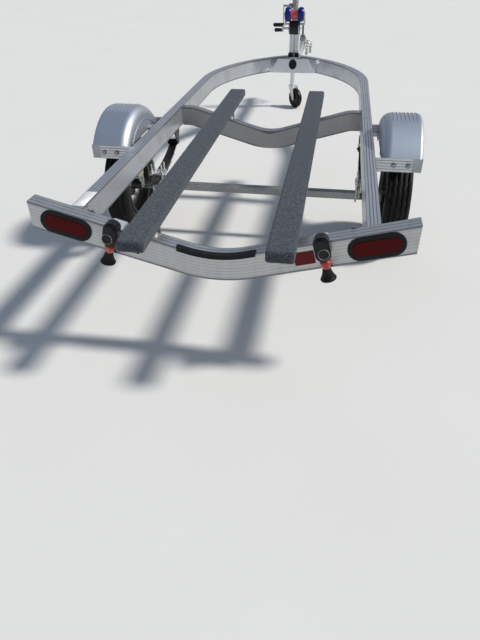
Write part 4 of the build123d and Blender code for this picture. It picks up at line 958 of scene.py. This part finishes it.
bracket_low, bracket_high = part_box("jack_bracket")
jack_plate_thick = 0.006
jack_plate_x = bracket_high[0] - jack_plate_thick
plate_edge = (0.016, 0.024)
bracket_bolts = [
    ((jack_plate_x, y, z), (-1, 0, 0))
    for y in (bracket_low[1] + plate_edge[0], bracket_high[1] - plate_edge[0])
    for z in (bracket_low[2] + plate_edge[1], bracket_high[2] - plate_edge[1])
]

bunk_x = middle_of("bunk_right")[0]
foot_thick = 0.005
bunk_bolt_half = 0.017
bunk_bolt_sink = 0.0004
rear_foot_z = cross_vertex + bunk_x * math.tan(cross_slope)
front_foot_z = front_cross_top - (front_cross_flat - bunk_x) * math.tan(front_cross_slope)
foot_tops = (
    (rear_y + 0.026, cross_slope, rear_foot_z),
    (front_cross_y + 0.022, front_cross_slope, front_foot_z),
)
bunk_bolts = []
for y, slope, middle_z in foot_tops:
    for across in (-bunk_bolt_half, bunk_bolt_half):
        foot_z = middle_z + across * math.tan(slope)
        spot = (bunk_x + across, y, foot_z + foot_thick / math.cos(slope) - bunk_bolt_sink)
        bunk_bolts.append((spot, (-math.sin(slope), 0, math.cos(slope))))
bunk_bolts = both_sides(bunk_bolts)

coupler_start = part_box("coupler")[0][1]
sleeve_half = 0.0294
coupler_bolt_z = rail_top - 0.016
coupler_bolts = both_sides([
    ((sleeve_half, coupler_start + setback, coupler_bolt_z), (1, 0, 0))
    for setback in (0.035, 0.110)
])

bolts("fender_arm_bolts", arm_bolts, zinc_finish, Head_height=0.009)
bolts("corner_clip_bolts", clip_bolts, zinc_finish)
bolts("post_foot_bolts", foot_bolts, zinc_finish, Head_radius=0.0055, Washer_radius=0.0062)
bolts("jack_plate_bolts", bracket_bolts, zinc_finish)
bolts("bunk_bracket_bolts", bunk_bolts, bright_zinc, Head_height=0.011)
bolts("coupler_bolts", coupler_bolts, bright_zinc, Head_radius=0.0075)
groups = (arm_bolts, clip_bolts, foot_bolts, bracket_bolts, bunk_bolts, coupler_bolts)
print("bolts placed", sum(len(group) for group in groups))

# %% [markdown]
# ## Safety chains
# Two short chains hang from two bolts on the coupler's side. A chain is one link repeated,
# every second one turned a quarter, so the same kind of tree draws it: each point carries
# which way its link runs and which way its flat faces. The spacing is the link's inside
# length, so that neighbours touch wire to wire as they do on a real chain.

# %% Chain loops
chain_start_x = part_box("safety_chains")[0][0]
chain_middle_y = middle_of("safety_chains")[1]
chain_reach = 0.065
chain_bolt_z = 0.534
chain_loops = ((0.046, 0.428), (0.080, 0.446))
link_spacing = 0.0245
across = Vector((1, 0, 0))
link_places, link_headings, link_facings = [], [], []
for chain_x, chain_bottom in chain_loops:
    sag = chain_bolt_z - chain_bottom
    arc_radius = (chain_reach ** 2 + sag ** 2) / (2 * sag)
    arc_z = chain_bottom + arc_radius
    half_turn = math.atan2(chain_reach, arc_z - chain_bolt_z)
    total = 2 * round(2 * half_turn * arc_radius / link_spacing / 2) - 1
    for index in range(total):
        turn = half_turn * (2 * (index + 0.5) / total - 1)
        heading = Vector((0, math.cos(turn), math.sin(turn)))
        flat = across if index % 2 == 0 else across.cross(heading)
        link_y = chain_middle_y + arc_radius * math.sin(turn)
        link_places.append((chain_x, link_y, arc_z - arc_radius * math.cos(turn)))
        link_headings.append(heading)
        link_facings.append(flat)
chains = grow(
    "safety_chain_links", links, link_places, zinc_finish, {},
    along=link_headings, facing=link_facings,
)
for face in chains.data.polygons:
    face.use_smooth = True
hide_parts("safety_chains")
print("links", len(link_places))

# %% [markdown]
# ## Strips, wire and labels
# Each tie-down hangs from a steel plate that lies on the crossmember and has a ring on its
# housing, the fenders have short ribs to step on, and one rail carries a blank white label. A
# rib is a bar bent along an arc, so a helper sweeps a section; a ring is the same, but closed.

# %% Sweep a section along a line
def swept(name, path, section, material, closed=False, up=(0, 0, 1), smooth=True):
    """Sweeps (side, height) points along a path; side is square to the path and to up."""
    rings = []
    total = len(path)
    for index, point in enumerate(path):
        before = path[(index - 1) % total] if closed or index else point
        after = path[(index + 1) % total] if closed or index < total - 1 else point
        heading = (Vector(after) - Vector(before)).normalized()
        side = heading.cross(Vector(up)).normalized()
        height = side.cross(heading)
        rings.append([Vector(point) + side * a + height * b for a, b in section])
    return skin(name, rings, material, closed=closed, smooth=smooth)


# %% Bolts that hold the chains
chain_bolt_radius = 0.0042
chain_bolt_end = chain_loops[-1][0] + 2.5 * chain_wire
bolt_section = circle(chain_bolt_radius, 16)
for place, way in (("rear", -1), ("front", 1)):
    bolt_y = chain_middle_y + way * chain_reach
    bolt_path = [(x, bolt_y, chain_bolt_z) for x in (chain_start_x, chain_bolt_end)]
    swept(f"chain_bolt_{place}", bolt_path, bolt_section, bright_zinc)
print("chain bolts reach", round(chain_bolt_end, 4))

# %% Plates and rings on the tie-downs
housing_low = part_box("tie_down_housings")[0]
plate_reach = (0.345, 0.393)
plate_thick = 0.0022
plate_lip = 0.014
plate_start = rear_y + 0.001
plate_end = cross_box[1][1]
plate_profile = (
    (plate_start, 0.0), (plate_end, 0.0), (plate_end, -plate_lip),
    (plate_end + plate_thick, -plate_lip), (plate_end + plate_thick, plate_thick),
    (plate_start, plate_thick),
)
ring_x = 0.385
ring_y = housing_low[1] - 0.003
ring_z = housing_low[2] + 0.036
ring_radius = 0.019
ring_tilt = 0.0012 / ring_radius
ring_wire = 0.0010
ring_steps = 40
for side, sign in sides:
    rings = []
    for reach in plate_reach:
        flange_z = cross_vertex + reach * math.tan(cross_slope)
        rings.append([(sign * reach, y, flange_z + lift) for y, lift in plate_profile])
    skin(f"tie_down_plate_{side}", rings, bright_zinc, smooth=False)
    ring_path = [
        (sign * ring_x + out, ring_y + rise * ring_tilt, ring_z + rise)
        for out, rise in circle(ring_radius, ring_steps)
    ]
    name = f"tie_down_ring_{side}"
    swept(name, ring_path, circle(ring_wire), zinc_finish, closed=True, up=(0, 1, 0))
print("plates and rings on both sides")

# %% Step ribs on the fenders
rib_count = 7
rib_half = 0.003
rib_rise = 0.003
rib_section = (
    (-rib_rise, -0.6 * rib_half), (-rib_rise, 0.6 * rib_half), (0.0, rib_half), (0.0, -rib_half),
)
rib_angles = (-12.5, 17.5)
rib_steps = 12
rib_sink = 0.0002
rib_start_sink = 0.002
fender_radius = 0.330
fender_shoulders = (0.044, 0.016)
for side, sign in sides:
    low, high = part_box(f"fender_{side}")
    inner = min(abs(low[0]), abs(high[0])) + fender_shoulders[0]
    outer = max(abs(low[0]), abs(high[0])) - fender_shoulders[1]
    centre_z = high[2] - fender_radius
    for index in range(rib_count):
        rib_x = sign * (inner + (index + 0.5) * (outer - inner) / rib_count)
        rib_path = []
        for step in range(rib_steps + 1):
            share = step / rib_steps
            angle = math.radians(rib_angles[0] + (rib_angles[1] - rib_angles[0]) * share)
            reach = fender_radius - (rib_start_sink if step == 0 else rib_sink)
            rib_y = axle_y + reach * math.sin(angle)
            rib_path.append((rib_x, rib_y, centre_z + reach * math.cos(angle)))
        name = f"fender_rib_{side}_{index + 1}"
        swept(name, rib_path, rib_section, fender_finish, up=(1, 0, 0), smooth=False)
print("ribs", rib_count, "on each fender")

# %% [markdown]
# ## A blank label
# The photograph shows a white sticker on the left rail. What it says stays off, so it is a
# bare film with rounded corners, a fraction of a millimetre proud, yellowed in patches.

# %% Film of the sticker
finish = Finish("blank_white_film", Coat_Weight=0.3)
wear = finish.ease(finish.noise(60.0, 5.0), 0.55, 0.75)
white = finish.mix(wear * 0.5, (0.86, 0.86, 0.84), (0.70, 0.68, 0.62))
label_finish = finish.surface(white, 0.35 + wear * 0.2, finish.noise(260.0, 3.0), 0.0001, 0.4)

# %% The sticker
label_half = (0.024, 0.068)
label_centre = (-rail_inner - 0.0255, rear_y + 0.164)
label_lift = 0.0004
label_corner = 0.004
label_bevel = 0.0003
outline = rounded_outline(*label_half, label_corner, spacing=0.03)
rings = []
for height, shrink in ((0.0, 0.0), (label_lift, label_bevel)):
    ring = []
    for point, normal in outline:
        x = label_centre[0] + point.x - normal.x * shrink
        y = label_centre[1] + point.y - normal.y * shrink
        ring.append((x, y, rail_top + height))
    rings.append(ring)
label = skin("rail_label_blank", rings, label_finish)
print("label", [round(value, 3) for value in label_centre])

# %% [markdown]
# ## Floor, light and backdrop
# A part is shown best on a plain pale floor. The photograph's sun is high on the right, so
# one wide lamp stands there and gives the shadows the same lean, only softer. The sky around
# is a pale even light, which also gives the aluminium something to mirror.

# %% Pale floor
finish = Finish("pale_floor", Roughness=0.9, Specular_IOR_Level=0.15)
cloud = finish.noise(1.2, 4.0)
finish.put("Base Color", finish.mix(cloud, (0.66, 0.64, 0.60), (0.70, 0.68, 0.64)))
floor_shape = bmesh.new()
bmesh.ops.create_grid(floor_shape, x_segments=2, y_segments=2, size=40.0)
floor_mesh = bpy.data.meshes.new("floor")
floor_shape.to_mesh(floor_mesh)
floor_shape.free()
floor_mesh.materials.append(finish.material)
floor = put_in_scene("floor", floor_mesh)
print("floor", [round(size) for size in floor.dimensions])

# %% Key lamp and sky
key = bpy.data.lights.new("key", "SUN")
key.energy = 3.7
key.angle = math.radians(7)
key.color = (1.0, 0.985, 0.96)
key_object = put_in_scene("key", key)
key_heading = Vector((-0.936, -0.155, -1.0)).normalized()
key_object.rotation_euler = key_heading.to_track_quat("-Z", "Y").to_euler()

sky = bpy.data.worlds.new("pale_sky")
sky.use_nodes = True
sky_tree = sky.node_tree
place = add(sky_tree, "ShaderNodeTexCoord", {}, "Generated")
height = add(sky_tree, "ShaderNodeSeparateXYZ", {"Vector": place}, "Z")
tints = {0: height, 6: (1.0, 1.0, 1.0, 1.0), 7: (0.38, 0.58, 0.93, 1.0)}
tint = add(sky_tree, "ShaderNodeMix", tints, 2, data_type="RGBA")
sky_light = sky_tree.nodes["Background"]
sky_light.inputs["Strength"].default_value = 0.41
sky_tree.links.new(tint, sky_light.inputs["Color"])
backdrop = add(sky_tree, "ShaderNodeBackground", {"Color": (0.90, 0.90, 0.89, 1.0)})
seen = add(sky_tree, "ShaderNodeLightPath", {}, "Is Camera Ray")
shown = {0: seen, 1: sky_light.outputs["Background"], 2: backdrop}
split = add(sky_tree, "ShaderNodeMixShader", shown)
sky_tree.links.new(split, sky_tree.nodes["World Output"].inputs["Surface"])
bpy.context.scene.world = sky
print("key lamp", round(key.energy, 2), "heading", [round(value, 2) for value in key_heading])

# %% [markdown]
# ## The camera
# The photograph was taken by hand behind the trailer, from head height on the right, looking
# down. Its place was worked out from the straight lines of the frame: the focal length in
# pixels over the picture's height gives the lens, and three angles give the heading.

# %% Camera of the photograph
focal_pixels = 527.0
image_height = 640.0
sensor_height = 36.0
camera_place = Vector((0.386, rear_y - 1.631, 1.382))
yaw, pitch, roll = (math.radians(angle) for angle in (-10.45, 36.38, -1.03))
level_ahead = Vector((math.sin(yaw), math.cos(yaw), 0))
ahead = level_ahead * math.cos(pitch) - Vector((0, 0, math.sin(pitch)))
level_right = Vector((math.cos(yaw), -math.sin(yaw), 0))
level_up = level_right.cross(ahead)
right = level_right * math.cos(roll) + level_up * math.sin(roll)
up = level_up * math.cos(roll) - level_right * math.sin(roll)
lens = bpy.data.cameras.new("photo_camera")
lens.sensor_fit = "VERTICAL"
lens.sensor_height = sensor_height
lens.lens = sensor_height * focal_pixels / image_height
lens.clip_end = 200.0
camera = put_in_scene("photo_camera", lens)
turn = Matrix((right, up, -ahead)).transposed().to_4x4()
camera.matrix_world = Matrix.Translation(camera_place) @ turn
bpy.context.scene.camera = camera
bpy.context.scene.view_settings.view_transform = "Standard"
print("lens", round(lens.lens, 2), "mm at", [round(value, 3) for value in camera_place])
